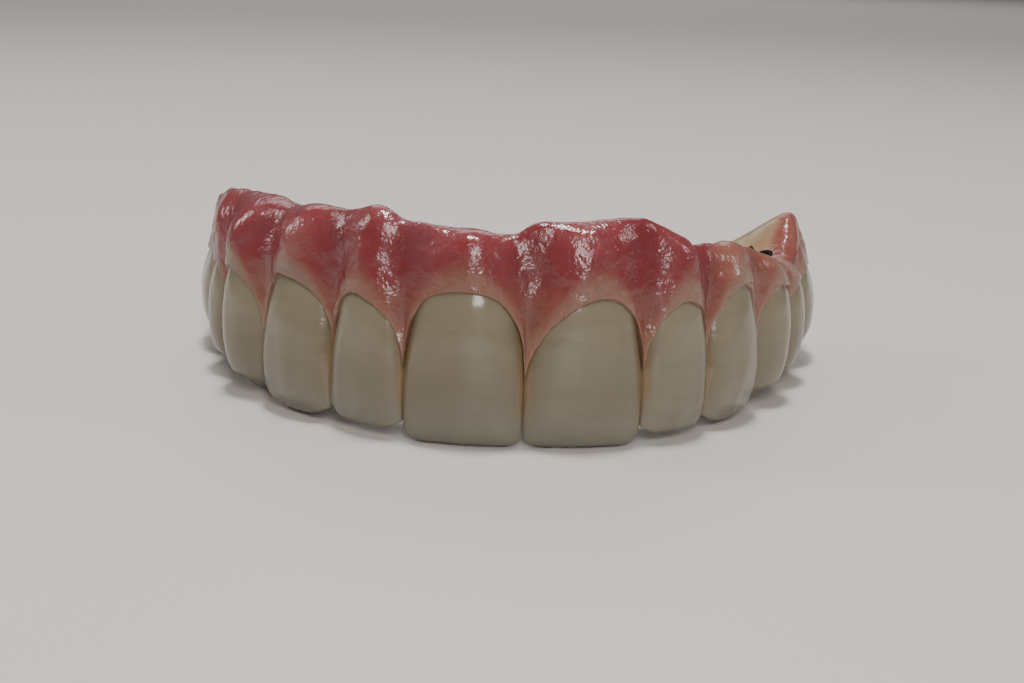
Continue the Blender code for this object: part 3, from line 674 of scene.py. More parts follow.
def ridge_height(along, depth):
    """Height of the surface that meets the ridge, falling from the crest to the palate edge."""
    start = crest_depth(along)
    share = np.clip((depth - start) / (palate_depth(along) - start), 0.0, 1.0)
    fall = np.sin(share * math.pi / 2.0) ** RIDGE_FALL_POWER
    return crest_height(along) + (palate_edge_height(along) - crest_height(along)) * fall


def groove_share(along):
    """0 over the middle of each root, 1 over each joint."""
    groove = np.ones_like(along)
    for tooth in TEETH:
        share = np.abs(along - tooth.middle) / (tooth.width / 2.0)
        column = np.sin(np.clip(share, 0.0, 1.0) * math.pi / 2.0) ** 2
        groove = np.where(share <= 1.0, column, groove)
    return groove


def gum_face(along, height, collar):
    """Depth of the gum's lip face below its shoulder, at least a collar in front of each tooth."""
    bulge = -smooth_through(along, *BULGE_LINE)
    above_margins = np.clip((height - smooth_through(along, *MARGIN_LINE)) / PAPILLA_RUN, 0.0, 1.0)
    groove = PAPILLA_DEPTH + (ROOT_GROOVE_DEPTH - PAPILLA_DEPTH) * above_margins
    depth = bulge + (groove - bulge) * groove_share(along)
    for tooth in TEETH:
        near = np.abs(along - tooth.middle) <= tooth.width / 2.0
        released = np.clip(height - tooth.lip_top, 0.0, None) ** 2 / NECK_RELEASE
        covered = soft_minimum(depth, tooth.front_depth(along, height) - collar + released)
        depth = np.where(near, covered, depth)
    return depth


def collar_above(along):
    """How far the gum lies in front of the teeth above its margin."""
    share = np.clip((along - THIN_COLLAR_START) / THIN_COLLAR_RUN, 0.0, 1.0)
    return COLLAR_ABOVE * (1.0 - THIN_COLLAR * share)


def smoothed_along(along, depth):
    """A line of depths with its short ripples along the arch taken out."""
    even = np.arange(along[0], along[-1] + SMOOTHING_STEP, SMOOTHING_STEP)
    values = np.interp(even, along, depth)
    reach = int(3.0 * SMOOTHING_REACH / SMOOTHING_STEP)
    weights = np.exp(-0.5 * (np.arange(-reach, reach + 1) * SMOOTHING_STEP / SMOOTHING_REACH) ** 2)
    padded = np.pad(values, reach, mode="edge")
    return np.interp(along, even, np.convolve(padded, weights / weights.sum(), mode="valid"))


def smooth_gum_face(along, height, collar):
    """The gum's face without ripples along the arch, still in front of the teeth."""
    depth = smoothed_along(along, gum_face(along, height, collar))
    for tooth in TEETH:
        near = (np.abs(along - tooth.middle) <= tooth.width / 2.0) & (height <= tooth.lip_top)
        cover = tooth.front_depth(along, height) - 0.5 * COLLAR
        depth = np.where(near, np.minimum(depth, cover), depth)
    return depth


def stations(steps):
    """Places along the arch at which gum and framework are drawn, closer at the joints."""
    even = np.linspace(-1.0, 1.0, steps + 1)[1:]
    crowded = np.sin(even * JOINT_CROWDING) / math.sin(JOINT_CROWDING)
    places = [tooth.middle + crowded * tooth.width / 2.0 for tooth in TEETH]
    rounding = END_WALL * np.sin(np.linspace(0.0, 1.0, END_STATIONS + 1)[1:] * math.pi / 2.0)
    return np.concatenate([-ARCH_END - rounding[::-1], [-ARCH_END], *places, ARCH_END + rounding])


def rounded_end(along, depth, height):
    """Draws a section in towards its middle where the bridge ends behind the last tooth."""
    share = np.clip((np.abs(along) - ARCH_END - END_WALL + END_ROUND) / END_ROUND, 0.0, 1.0)
    scale = (1.0 - END_PINCH * share**3) ** (1.0 / 3.0)
    middle_depth = crest_depth(along) + smooth_through(along, *PINK_LINE)
    middle_height = palate_edge_height(along)
    drawn_depth = middle_depth + (depth - middle_depth) * scale
    return drawn_depth, middle_height + (height - middle_height) * scale


def loft(name, along, sections, extras):
    """Closed solid through sections of (depth, height) points, one for each station."""
    rows = [on_arch(along, *rounded_end(along, depth, height)) for depth, height in sections]
    points = np.stack(rows, axis=1)
    faces = capped_skin(*points.shape[:2])
    extras = {label: np.stack(values, axis=1).ravel() for label, values in extras.items()}
    return closed_piece(name, points.reshape(-1, 3), faces, extras)


def gum_piece(steps):
    """The gum facing: collar tucked behind its margin, face, shoulder, crest, ridge side and back."""
    along = stations(steps)
    crest = crest_height(along)
    margin = lip_margin(along)
    zenith = smooth_through(along, *MARGIN_LINE)
    shoulder = zenith + smooth_through(along, *SHOULDER_LINE) * (crest - zenith)
    top_depth = crest_depth(along)
    back = top_depth + smooth_through(along, *PINK_LINE)
    at_margin = smooth_gum_face(along, margin, COLLAR)
    rows = [(at_margin + inwards, margin - down) for down, inwards in COLLAR_TUCK]
    start = margin + GUM_FACE_START
    for share in np.linspace(0.0, 1.0, GUM_FACE_ROWS + 1)[:-1] ** GUM_FACE_CROWDING:
        height = start + (shoulder - start) * share
        clear_of_margin = np.clip((height - margin) / COLLAR_RUN, 0.0, 1.0)
        collar = COLLAR + (collar_above(along) - COLLAR) * clear_of_margin
        rows.append((smooth_gum_face(along, height, collar), height))
    for turn in np.linspace(0.0, math.pi / 2.0, SHOULDER_ROWS + 1):
        rise = math.sin(turn) ** (2.0 / SHOULDER_POWER)
        lean = 1.0 - abs(math.cos(turn)) ** (2.0 / SHOULDER_POWER)
        height = shoulder + (crest - shoulder) * rise
        face = smooth_gum_face(along, height, collar_above(along))
        rows.append((face + (top_depth - face) * lean, height))
    for share in (0.2, 0.4, 0.6, 0.8, 1.0):
        depth = top_depth + (back - top_depth) * share
        rows.append((depth, ridge_height(along, depth)))
    for share in (0.25, 0.5, 0.75, 1.0):
        rows.append((back, ridge_height(along, back) * (1.0 - share) + margin * share))
    extras = {
        "above": [(height - margin) * MILLIMETRES for _, height in rows],
        "rise": [(height - zenith) * MILLIMETRES for _, height in rows],
        "fall": [(crest - height) * MILLIMETRES for _, height in rows],
        "rear": [(back - depth) * MILLIMETRES for depth, _ in rows],
        "groove": [groove_share(along)] * len(rows),
        "along": [along * MILLIMETRES] * len(rows),
    }
    return loft("gum", along, rows, extras)


def framework_piece(steps):
    """The framework: front against the gum, ridge side, rounded palate edge, palate side, underside."""
    along = stations(steps)
    front = crest_depth(along) + smooth_through(along, *PINK_LINE)
    palate = palate_depth(along)
    edge = palate_edge_height(along)
    lip, inner = lip_margin(along), palate_margin(along)
    rows = []
    for share in (0.0, 0.5):
        rows.append((front, lip + (ridge_height(along, front) - lip) * share))
    for share in np.linspace(0.0, RIDGE_SHARE, RIDGE_ROWS):
        depth = front + (palate - front) * share
        rows.append((depth, ridge_height(along, depth)))
    tip_depth, tip_height = rows[-1]
    wall_height = edge - PALATE_TURN_SHARE * (edge - inner)
    for turn in np.linspace(0.0, math.pi / 2.0, PALATE_TURN_ROWS + 1)[1:]:
        depth = tip_depth + (palate - tip_depth) * math.sin(turn)
        rows.append((depth, wall_height + (tip_height - wall_height) * math.cos(turn)))
    for share in np.linspace(0.0, 1.0, PALATE_ROWS + 1)[1:]:
        inwards = PALATE_WALL * PALATE_DRAW_IN * share**3
        rows.append((palate - inwards, wall_height + (inner - wall_height) * share))
    depth = palate - PALATE_WALL * UNDERSIDE_SHARE
    rows.append((depth, inner - UNDERSIDE_DROP))
    for share in (0.3, 0.6, 0.85):
        rows.append((depth + (front - depth) * share, inner + (lip - inner) * share))
    extras = {"rear": [(depth - front) * MILLIMETRES for depth, _ in rows]}
    return loft("framework_body", along, rows, extras)


def ruffled(piece, size, lift, seed, calm=0.0):
    """Pushes a piece's points along their normals by smooth noise, so that no face is dead even.

    Where the piece has a distance from the seam of gum and framework, the noise grows over "calm"
    millimetres from there, so that both pieces keep one edge.
    """
    mesh = piece.data
    count = len(mesh.vertices)
    if calm:
        share = np.empty(count, np.float32)
        mesh.attributes["rear"].data.foreach_get("value", share)
        lift = lift * np.clip(share / calm, 0.0, 1.0)
    points = np.empty(count * 3, np.float32)
    normals = np.empty(count * 3, np.float32)
    mesh.vertices.foreach_get("co", points)
    mesh.vertex_normals.foreach_get("vector", normals)
    points, normals = points.reshape(-1, 3), normals.reshape(-1, 3)
    shift = Vector((seed, seed * 0.7, seed * 1.3))
    bumps = np.array([noise.noise(Vector(point) / size + shift) for point in points.tolist()])
    points += normals * (bumps * lift)[:, None].astype(np.float32)
    mesh.vertices.foreach_set("co", points.ravel())
    mesh.update()
    return piece


def carved(piece, sleeves):
    """Takes the pockets of sleeves out of a piece."""
    if not sleeves:
        return piece
    group = bpy.data.collections.new(piece.name + "_pockets")
    pockets = [sleeve.pocket() for sleeve in sleeves]
    for pocket in pockets:
        group.objects.link(pocket)
    modifier = piece.modifiers.new("channels", "BOOLEAN")
    modifier.operation = "DIFFERENCE"
    modifier.solver = "EXACT"
    modifier.operand_type = "COLLECTION"
    modifier.collection = group
    plain(piece)
    bpy.data.batch_remove([*pockets, group])
    return piece


def plain(piece):
    """Replaces a piece's mesh by what its modifiers make of it, and removes them."""
    depsgraph = bpy.context.evaluated_depsgraph_get()
    mesh = bpy.data.meshes.new_from_object(piece.evaluated_get(depsgraph), depsgraph=depsgraph)
    old = piece.data
    piece.modifiers.clear()
    piece.data = mesh
    bpy.data.meshes.remove(old)
    if not mesh.polygons:
        raise RuntimeError(f"{piece.name} came out empty")
    return piece


def fit_sleeves():
    """The six sleeves, from the lateral incisor back on each side."""
    sleeves = []
    for side in SIDES:
        row = sorted((t for t in TEETH if t.side == side), key=lambda t: abs(t.middle))
        sleeves += [Sleeve(row[place[0]], place) for place in SLEEVE_PLACES]
    return sleeves


SLEEVES = fit_sleeves()


def operator_pair(operation):
    """An operator's two methods: with the socket on its left, and on its right."""

    def forward(self, other):
        return self.finish.node("ShaderNodeMath", {"operation": operation}, [self, other])

    def reflected(self, other):
        return self.finish.node("ShaderNodeMath", {"operation": operation}, [other, self])

    return forward, reflected


class Socket:
    """A node's output. Sums and products of sockets and numbers add Math nodes."""

    __add__, __radd__ = operator_pair("ADD")
    __sub__, __rsub__ = operator_pair("SUBTRACT")
    __mul__, __rmul__ = operator_pair("MULTIPLY")
    __truediv__, __rtruediv__ = operator_pair("DIVIDE")

    def __init__(self, finish, output):
        self.finish = finish
        self.output = output

    def __abs__(self):
        return self.finish.node("ShaderNodeMath", {"operation": "ABSOLUTE"}, [self])

    def between(self, low, high):
        """0 at or below low, 1 at or above high, smooth between."""
        settings = {"interpolation_type": "SMOOTHSTEP"}
        return self.finish.node("ShaderNodeMapRange", settings, [self, low, high, 0.0, 1.0])

    def sway(self, amount):
        """Noise as a swing about nothing, by up to half the amount to either side."""
        return (self - 0.5) * amount


class Finish:
    """A Principled material and the nodes that feed it."""

    # Places of the sockets of a Mix node that mixes colours.
    FACTOR, FIRST, SECOND, RESULT = 0, 6, 7, 2

    def __init__(self, name):
        self.material = bpy.data.materials.new(name)
        self.material.use_nodes = True
        self.tree = self.material.node_tree
        self.shader = self.tree.nodes["Principled BSDF"]

    def node(self, kind, settings, values, output=0):
        """A node of any kind: its settings first, then its sockets' values or links."""
        made = self.tree.nodes.new(kind)
        for label, value in settings.items():
            setattr(made, label, value)
        pairs = values.items() if isinstance(values, dict) else enumerate(values)
        for key, value in pairs:
            self.feed(made.inputs[key], value)
        return Socket(self, made.outputs[output])

    def feed(self, socket, value):
        """Links a socket to a node's output, or gives it a value."""
        if isinstance(value, Socket):
            self.tree.links.new(value.output, socket)
        else:
            socket.default_value = value

    def vector(self, operation, *values, output=0):
        """A Vector Math node."""
        return self.node("ShaderNodeVectorMath", {"operation": operation}, values, output)

    def place(self):
        """Object coordinates."""
        return self.node("ShaderNodeTexCoord", {}, {}, "Object")

    def extra(self, label):
        """One of the piece's own attributes."""
        return self.node("ShaderNodeAttribute", {"attribute_name": label}, {}, "Fac")

    def cloud(self, size, detail=2.0, roughness=0.5, stretch=(1.0, 1.0, 1.0)):
        """Noise whose blotches are about a size across, from 0 to 1."""
        place = self.vector("MULTIPLY", self.place(), stretch)
        values = {"Vector": place, "Scale": 1.0 / size, "Detail": detail, "Roughness": roughness}
        return self.node("ShaderNodeTexNoise", {}, values, "Fac")

    def painted_well_shade(self):
        """1 inside the sleeves' openings and on a thin line round them, where shade is painted; 0
        elsewhere.
        """
        share = 0.0
        for sleeve in SLEEVES:
            from_mouth = self.vector("SUBTRACT", self.place(), tuple(sleeve.mouth))
            across = self.vector("CROSS_PRODUCT", from_mouth, tuple(sleeve.axis))
            radius = self.vector("LENGTH", across, output="Value")
            share = (sleeve.opening + WELL_LINE - radius).between(0.0, WELL_LINE) + share
        return share

    def mix(self, factor, first, second):
        """Colour between two others."""
        settings = {"data_type": "RGBA", "clamp_factor": True}
        values = {self.FACTOR: factor, self.FIRST: first, self.SECOND: second}
        return self.node("ShaderNodeMix", settings, values, self.RESULT)

    def layered(self, colour, *layers):
        """A colour under layers, each with its mask, the share that it covers there and its colour."""
        for mask, cover, tint in layers:
            colour = self.mix(mask * cover, colour, tint)
        return colour

    def bump(self, height, distance):
        """Normal from a height that runs from 0 to 1 over a distance."""
        return self.node("ShaderNodeBump", {}, {"Height": height, "Distance": distance})

    def set(self, **values):
        """The shader's own sockets: numbers and colours, or links."""
        for label, value in values.items():
            self.feed(self.shader.inputs[label.replace("_", " ")], value)
        return self.material


def shade(colour, share=1.0):
    """A colour's four numbers, the first three times a share or times one share each."""
    return (*np.multiply(tuple(colour), share).tolist(), 1.0)


def colour_of(name, description, default):
    """A colour that a user may change."""
    return FloatVectorProperty(name=name, description=description, subtype="COLOR", default=default)


def depth_of(name, description, default):
    """A small depth that a user may change."""
    return FloatProperty(name=name, description=description, default=default, unit="LENGTH")


def power_of(name, description, default):
    """A light's power that a user may change."""
    return FloatProperty(name=name, description=description, default=default, unit="POWER")


def count_of(name, description, default, least, most):
    """A number of points, rows or rings that a user may change."""
    return IntProperty(name=name, description=description, default=default, min=least, max=most)


class ToothSettings(bpy.types.PropertyGroup):
    """Sizes and colours of the teeth."""

    facets: count_of("Facets", "Points around a tooth", 96, 16, 160)
    rows: count_of("Rows", "Rows up a tooth's wall", 46, 8, 90)
    body: colour_of("Body", "Colour of the crown's middle", (0.138, 0.118, 0.079))
    neck: colour_of("Neck", "Colour towards the gum", (0.212, 0.181, 0.120))
    edge: colour_of("Edge", "Colour of the biting edge", (0.150, 0.142, 0.114))
    pale: colour_of("Pale", "Colour that the paler teeth go towards", (0.232, 0.205, 0.150))
    joint: colour_of("Joint", "Stain on the flanks of the teeth", (0.155, 0.104, 0.053))
    contact: colour_of("Contact", "Stain deep between the teeth", (0.250, 0.176, 0.097))
    speck: colour_of("Speck", "Colour of the small specks", (0.08, 0.06, 0.05))
    growth: depth_of("Growth lines", "Depth of the growth lines", 0.000032)


class GumSettings(bpy.types.PropertyGroup):
    """Sizes and colours of the gum."""

    steps: count_of("Steps", "Stations over each tooth", 66, 8, 90)
    deep: colour_of("Deep", "Colour of the gum's body", (0.172, 0.025, 0.029))
    papilla: colour_of("Papilla", "Colour between the teeth", (0.190, 0.068, 0.046))
    tip: colour_of("Papilla tip", "Colour of the tips of the papillae", (0.300, 0.185, 0.120))
    pale: colour_of("Collar", "Colour along the margins", (0.195, 0.090, 0.061))
    blanched: colour_of("Blanched", "Collar in the middle and on the right", (0.240, 0.182, 0.141))
    milky: colour_of("Milky", "Collar on the left", (0.170, 0.128, 0.101))
    rim: colour_of("Rim", "Thin line at the margins", (0.215, 0.118, 0.082))
    warm: colour_of("Rear", "Colour of the right rear", (0.216, 0.083, 0.056))
    lobe: colour_of("Rear lobe", "Colour behind the right premolars", (0.212, 0.055, 0.046))
    # Painted light on the bulge over the left canine's root.
    painted_root_light: colour_of("Bloom", "Pale patch high on the left", (0.235, 0.085, 0.072))
    cream: colour_of("Cream", "Colour beside the framework", (0.285, 0.183, 0.106))
    stipple: depth_of("Stipple", "Depth of the stippling", 0.00016)


class FrameworkSettings(bpy.types.PropertyGroup):
    """Sizes and colours of the framework."""

    steps: count_of("Steps", "Stations over each tooth", 30, 8, 90)
    cream: colour_of("Cream", "Colour of the framework", (0.295, 0.207, 0.119))
    pink: colour_of("Pink", "Colour beside the gum", (0.30, 0.12, 0.085))


class SleeveSettings(bpy.types.PropertyGroup):
    """Sizes and colours of the sleeves."""

    rings: count_of("Rings", "Retention grooves outside", 4, 0, 8)
    facets: count_of("Facets", "Facets around a sleeve", 64, 12, 128)
    metal: colour_of("Metal", "Colour of the sleeves", (0.10, 0.11, 0.11))


class StageSettings(bpy.types.PropertyGroup):
    """Table and light."""

    table: colour_of("Table", "Colour of the table", (0.520, 0.482, 0.451))
    ceiling: power_of("Ceiling", "Power of the light above", 4.8)
    lamp: power_of("Lamp", "Power of the lamp in front", 1.85)
    left: power_of("Left", "Power of the strip on the left", 0.6)
    right: power_of("Right", "Power of the strip on the right", 0.35)
    rear: power_of("Rear", "Power of the light over the table's far end", 14.0)
    room: FloatProperty(name="Room", description="Strength of the room's own light", default=0.16)


def dress(piece, node, material):
    """Gives a piece its material and sets it in the place of a CAD node."""
    piece.data.materials.clear()
    piece.data.materials.append(material)
    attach(piece, "root")
    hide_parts(node)


# The enamel's zones, on the height that is 1 at the margin, and on the place across that is 0 in the
# middle and 1 at the sides.
NECK_ZONE = (0.35, 1.0)
EDGE_TOP = 0.42
EDGE_ZONE = (0.0, 0.40)
STAIN_ZONE = (0.05, 0.45)
SPECK_ZONE = (0.45, 0.8)
JOINT_ZONE = (0.68, 1.0)
CONTACT_ZONE = (0.86, 1.0)
# How pale the palest tooth is at its edge, and how much more so at its neck.
PALE_EDGE, PALE_NECK = 0.30, 0.12
PALE_NECK_SHARES = (1.0, 1.06, 1.12)
GROWTH_LINES = {"size": 0.0020, "roughness": 0.55, "stretch": (0.5, 0.5, 2.8)}


def enamel(settings):
    """Layered tooth finish: pale neck, greyer edge, stained joints, specks and fine growth lines."""
    finish = Finish("enamel")
    up, side = finish.extra("up"), abs(finish.extra("side"))
    blotch = finish.cloud(0.0022, detail=3.0)
    lines = finish.cloud(**GROWTH_LINES)
    stained = up.between(*STAIN_ZONE)
    colour = finish.layered(
        shade(settings.body),
        ((up + blotch.sway(0.3)).between(*NECK_ZONE), 1.0, shade(settings.neck)),
        ((EDGE_TOP - up + blotch.sway(0.25)).between(*EDGE_ZONE), 1.0, shade(settings.edge)),
        (blotch.between(0.45, 0.8), 0.25, shade(settings.body, 0.86)),
        (
            finish.cloud(0.0075, detail=1.0).between(0.45, 0.65),
            0.22,
            shade(settings.neck, PALE_NECK_SHARES),
        ),
        (finish.extra("paleness"), up * PALE_NECK + PALE_EDGE, shade(settings.pale)),
        ((side + blotch.sway(0.1)).between(*JOINT_ZONE) * stained, 0.9, shade(settings.joint)),
        (side.between(*CONTACT_ZONE) * stained, 0.85, shade(settings.contact)),
        (
            finish.cloud(0.0011, detail=1.0).between(0.80, 0.83) * up.between(*SPECK_ZONE),
            0.7,
            shade(settings.speck),
        ),
        (lines.between(0.40, 0.70), 0.09, shade(settings.body, 0.70)),
    )
    return finish.set(
        Base_Color=colour,
        Roughness=blotch * 0.10 + 0.11,
        Normal=finish.bump(lines * 0.75 + finish.cloud(0.00045) * 0.25, settings.growth),
        Subsurface_Weight=0.18,
        Subsurface_Scale=0.0009,
        Subsurface_Radius=(1.0, 0.75, 0.5),
        IOR=1.52,
    )


# The gum's zones in millimetres. "along" is negative on the left, "above" counts from the margin,
# "rise" from the highest margin nearby, "fall" down from the crest, "rear" from the framework.
BODY_RISE = (-1.6, 1.6)
TIP_RISE = (-5.5, -1.5)
RIGHT_REAR_ALONG = (14.5, 18.5)
LOBE_ALONG = (33.0, 39.0)
BLANCHED_ALONG = (-8.0, 28.0)
MILKY_ALONG = (-20.0, -10.0)
# Where the painted shade in the grooves between the roots lies above the margin.
GROOVE_SHADE_ABOVE = (0.4, 2.0)
RIM_ABOVE = (0.02, 0.22)
COLLAR_REACH, COLLAR_REACH_LOST_IN_GROOVES = 3.0, 2.4
# Painted light on the bulge over the left canine's root: its middle and reach along the arch, and where
# it lies above the margin's zenith and below the crest.
ROOT_LIGHT_MIDDLE, ROOT_LIGHT_REACH = -19.4, 3.2
ROOT_LIGHT_RISE = (0.8, 2.4)
ROOT_LIGHT_FALL = (0.4, 2.0)
CREAM_REAR = (-0.1, 1.1)
PINK_REAR = (0.0, 1.2)
RUBY_SHARES = (1.04, 1.9, 1.8)
# Painted shade inside the sleeves' openings, and a thin dark line round them that is partly a cement
# line and partly painted contact shadow.
WELL_LINE = 0.00006
WELL_SHADE_COLOUR = (0.012, 0.014, 0.013, 1.0)
WELL_SHADE_COVER = 0.93


def gum_ceramic(settings):
    """Glossy stippled gum: deep red body, pale collars and tips, painted shade in the grooves, painted
    light on the left canine's root bulge, warm right rear, painted shade in the sleeves' openings.
    """
    finish = Finish("gum_ceramic")
    above, rise, fall = finish.extra("above"), finish.extra("rise"), finish.extra("fall")
    groove, along, rear = finish.extra("groove"), finish.extra("along"), finish.extra("rear")
    blotch = finish.cloud(0.0030, detail=4.0)
    patch = finish.cloud(0.0011, detail=3.0)
    reach = COLLAR_REACH - groove * COLLAR_REACH_LOST_IN_GROOVES + patch.sway(1.2)
    collar = 1.0 - (above / reach).between(0.1, 1.0)
    # Painted light on the bulge over the left canine's root.
    painted_root_light = 1.0 - (abs(along - ROOT_LIGHT_MIDDLE) / ROOT_LIGHT_REACH).between(0.1, 1.0)
    painted_root_light = painted_root_light * rise.between(*ROOT_LIGHT_RISE) * fall.between(*ROOT_LIGHT_FALL)
    # Painted shade in the grooves between the root bulges, above the margins.
    grooves = groove.between(0.5, 1.0) * above.between(*GROOVE_SHADE_ABOVE)
    colour = finish.layered(
        shade(settings.deep),
        (blotch.between(0.40, 0.75), 1.0, shade(settings.deep, RUBY_SHARES)),
        (1.0 - (rise + blotch.sway(2.0)).between(*BODY_RISE), 1.0, shade(settings.papilla)),
        ((along + blotch.sway(5.0)).between(*RIGHT_REAR_ALONG), 0.85, shade(settings.warm)),
        (along.between(*LOBE_ALONG), 0.65, shade(settings.lobe)),
        # Painted shade in the grooves between the root bulges.
        (grooves, 0.35, shade(settings.deep, 0.62)),
        (collar, 0.9, shade(settings.pale)),
        (collar * along.between(*BLANCHED_ALONG), 0.62, shade(settings.blanched)),
        (collar * (1.0 - along.between(*MILKY_ALONG)), 0.6, shade(settings.milky)),
        (1.0 - rise.between(*TIP_RISE), 0.7, shade(settings.tip)),
        # Painted light on the bulge over the left canine's root.
        (painted_root_light, 0.5, shade(settings.painted_root_light)),
        (1.0 - above.between(*RIM_ABOVE), 0.45, shade(settings.rim)),
        (1.0 - (rear + patch.sway(0.7)).between(*CREAM_REAR), 1.0, shade(settings.cream)),
        # Painted shade in the sleeves' openings and on the thin line round them.
        (finish.painted_well_shade(), WELL_SHADE_COVER, WELL_SHADE_COLOUR),
    )
    pits, swell = finish.cloud(0.00055, roughness=0.6), finish.cloud(0.0018)
    return finish.set(
        Base_Color=colour,
        Roughness=finish.cloud(0.0009) * 0.22 + 0.12,
        Normal=finish.bump(pits * 0.6 + swell * 0.4, settings.stipple),
        Subsurface_Weight=0.12,
        Subsurface_Scale=0.0008,
        Subsurface_Radius=(1.0, 0.35, 0.25),
        IOR=1.55,
    )


def framework_ceramic(settings):
    """Smooth cream ceramic with faint clouds, pinker beside the gum, with painted shade in the sleeves'
    openings.
    """
    finish = Finish("framework_ceramic")
    cloud, fine = finish.cloud(0.004, detail=3.0), finish.cloud(0.0008, detail=3.0)
    near_gum = 1.0 - (finish.extra("rear") + fine.sway(0.9)).between(*PINK_REAR)
    colour = finish.layered(
        shade(settings.cream),
        (cloud.between(0.3, 0.75), 1.0, shade(settings.cream, (0.82, 0.78, 0.66))),
        (near_gum, 0.22, shade(settings.pink)),
        # Painted shade in the sleeves' openings and on the thin line round them.
        (finish.painted_well_shade(), WELL_SHADE_COVER, WELL_SHADE_COLOUR),
    )
    return finish.set(
        Base_Color=colour,
        Roughness=fine * 0.16 + 0.24,
        Normal=finish.bump(fine * 0.6 + cloud * 0.4, 0.00006),
        Subsurface_Weight=0.1,
        Subsurface_Scale=0.0008,
        Coat_Weight=0.3,
        Coat_Roughness=0.12,
    )


def sleeve_titanium(settings):
    """Dark turned metal with fine tool rings."""
    finish = Finish("sleeve_titanium")
    haze = finish.cloud(0.0009, detail=3.0)
    turned = finish.cloud(0.00012, stretch=(0.1, 0.1, 4.0))
    return finish.set(
        Base_Color=finish.mix(haze, shade(settings.metal), shade(settings.metal, 1.7)),
        Metallic=1.0,
        Roughness=haze * 0.2 + 0.28,
        Normal=finish.bump(turned, 0.000012),
    )


def table_top(settings):
    """Pale matt table with faint clouds."""
    finish = Finish("table_top")
    cloud = finish.cloud(0.02, detail=3.0)
    colour = finish.mix(cloud, shade(settings.table), shade(settings.table, 0.96))
    return finish.set(Base_Color=colour, Roughness=0.55)


class DENTURE_OT_teeth(bpy.types.Operator):
    """Makes the twelve crowns"""

    bl_idname = "denture.teeth"
    bl_label = "Teeth"

    def execute(self, context):
        settings = context.scene.denture_teeth
        material = enamel(settings)
        for tooth in TEETH:
            crown = ruffled(tooth.mesh(settings), *CROWN_WAVES, tooth.middle * CROWN_WAVES_SEED)
            reach = tooth.width * POCKET_REACH
            carved(crown, [sleeve for sleeve in SLEEVES if abs(sleeve.along - tooth.middle) < reach])
            dress(crown, tooth.name, material)
        return {"FINISHED"}


class DENTURE_OT_gum(bpy.types.Operator):
    """Makes the pink gum facing"""

    bl_idname = "denture.gum"
    bl_label = "Gum"

    def execute(self, context):
        settings = context.scene.denture_gum
        gum = gum_piece(settings.steps)
        ruffled(gum, *GUM_SWELLS, SEAM_CALM)
        ruffled(gum, *GUM_DIMPLES, SEAM_CALM)
        carved(gum, SLEEVES)
        gum.data.set_sharp_from_angle(angle=SHARP_EDGE)
        dress(gum, "gum_facing", gum_ceramic(settings))
        return {"FINISHED"}


class DENTURE_OT_framework(bpy.types.Operator):
    """Makes the cream framework"""

    bl_idname = "denture.framework"
    bl_label = "Framework"

    def execute(self, context):
        settings = context.scene.denture_framework
        body = ruffled(framework_piece(settings.steps), *FRAMEWORK_SWELLS, SEAM_CALM)
        carved(body, SLEEVES)
        body.data.set_sharp_from_angle(angle=SHARP_EDGE)
        dress(body, "framework", framework_ceramic(settings))
        return {"FINISHED"}


def turning_tree():
    """Node tree that turns the section held by an object's points about an axis."""
    tree = bpy.data.node_groups.new("turned_section", "GeometryNodeTree")
    inputs = {
        "Section": "NodeSocketGeometry",
        "Facets": "NodeSocketInt",
        "Mouth": "NodeSocketVector",
        "Lean": "NodeSocketRotation",
        "Metal": "NodeSocketMaterial",
    }
    for label, kind in inputs.items():
        tree.interface.new_socket(label, in_out="INPUT", socket_type=kind)
    tree.interface.new_socket("Geometry", in_out="OUTPUT", socket_type="NodeSocketGeometry")

    def node(kind, values=(), **settings):
        made = tree.nodes.new(kind)
        for label, value in settings.items():
            setattr(made, label, value)
        for key, value in dict(values).items():
            if isinstance(value, bpy.types.NodeSocket):
                tree.links.new(value, made.inputs[key])
            else:
                made.inputs[key].default_value = value
        return made.outputs

    def maths(operation, *values):
        return node("ShaderNodeMath", enumerate(values), operation=operation)[0]

    given = node("NodeGroupInput")
    position = node("GeometryNodeInputPosition")[0]
    count = node("GeometryNodeAttributeDomainSize", {0: given["Section"]})["Point Count"]
    grid = node(
        "GeometryNodeMeshGrid",
        {
            "Size X": 1.0,
            "Size Y": 1.0,
            "Vertices X": maths("ADD", given["Facets"], 1.0),
            "Vertices Y": maths("ADD", count, 1.0),
        },
    )["Mesh"]
    place = node("ShaderNodeSeparateXYZ", {0: position})
    turn = maths("MULTIPLY", place["X"], 2.0 * math.pi)
    row = maths("ROUND", maths("MULTIPLY", maths("ADD", place["Y"], 0.5), count))
    sampled = node(
        "GeometryNodeSampleIndex",
        {"Geometry": given["Section"], "Value": position, "Index": maths("MODULO", row, count)},
        data_type="FLOAT_VECTOR",
    )[0]
    section = node("ShaderNodeSeparateXYZ", {0: sampled})
    x = maths("MULTIPLY", section["X"], maths("COSINE", turn))
    y = maths("MULTIPLY", section["X"], maths("SINE", turn))
    point = node("ShaderNodeCombineXYZ", {0: x, 1: y, 2: section["Z"]})[0]
    turned = node("GeometryNodeSetPosition", {"Geometry": grid, "Position": point})[0]
    merged = node("GeometryNodeMergeByDistance", {"Geometry": turned, "Distance": SEAM_MERGE})[0]
    leaned = node(
        "GeometryNodeTransform",
        {"Geometry": merged, "Translation": given["Mouth"], "Rotation": given["Lean"]},
    )[0]
    real = node("GeometryNodeRealizeInstances", {0: leaned})[0]
    dressed = node("GeometryNodeSetMaterial", {"Geometry": real, "Material": given["Metal"]})[0]
    tree.links.new(dressed, tree.nodes.new("NodeGroupOutput").inputs[0])
    return tree


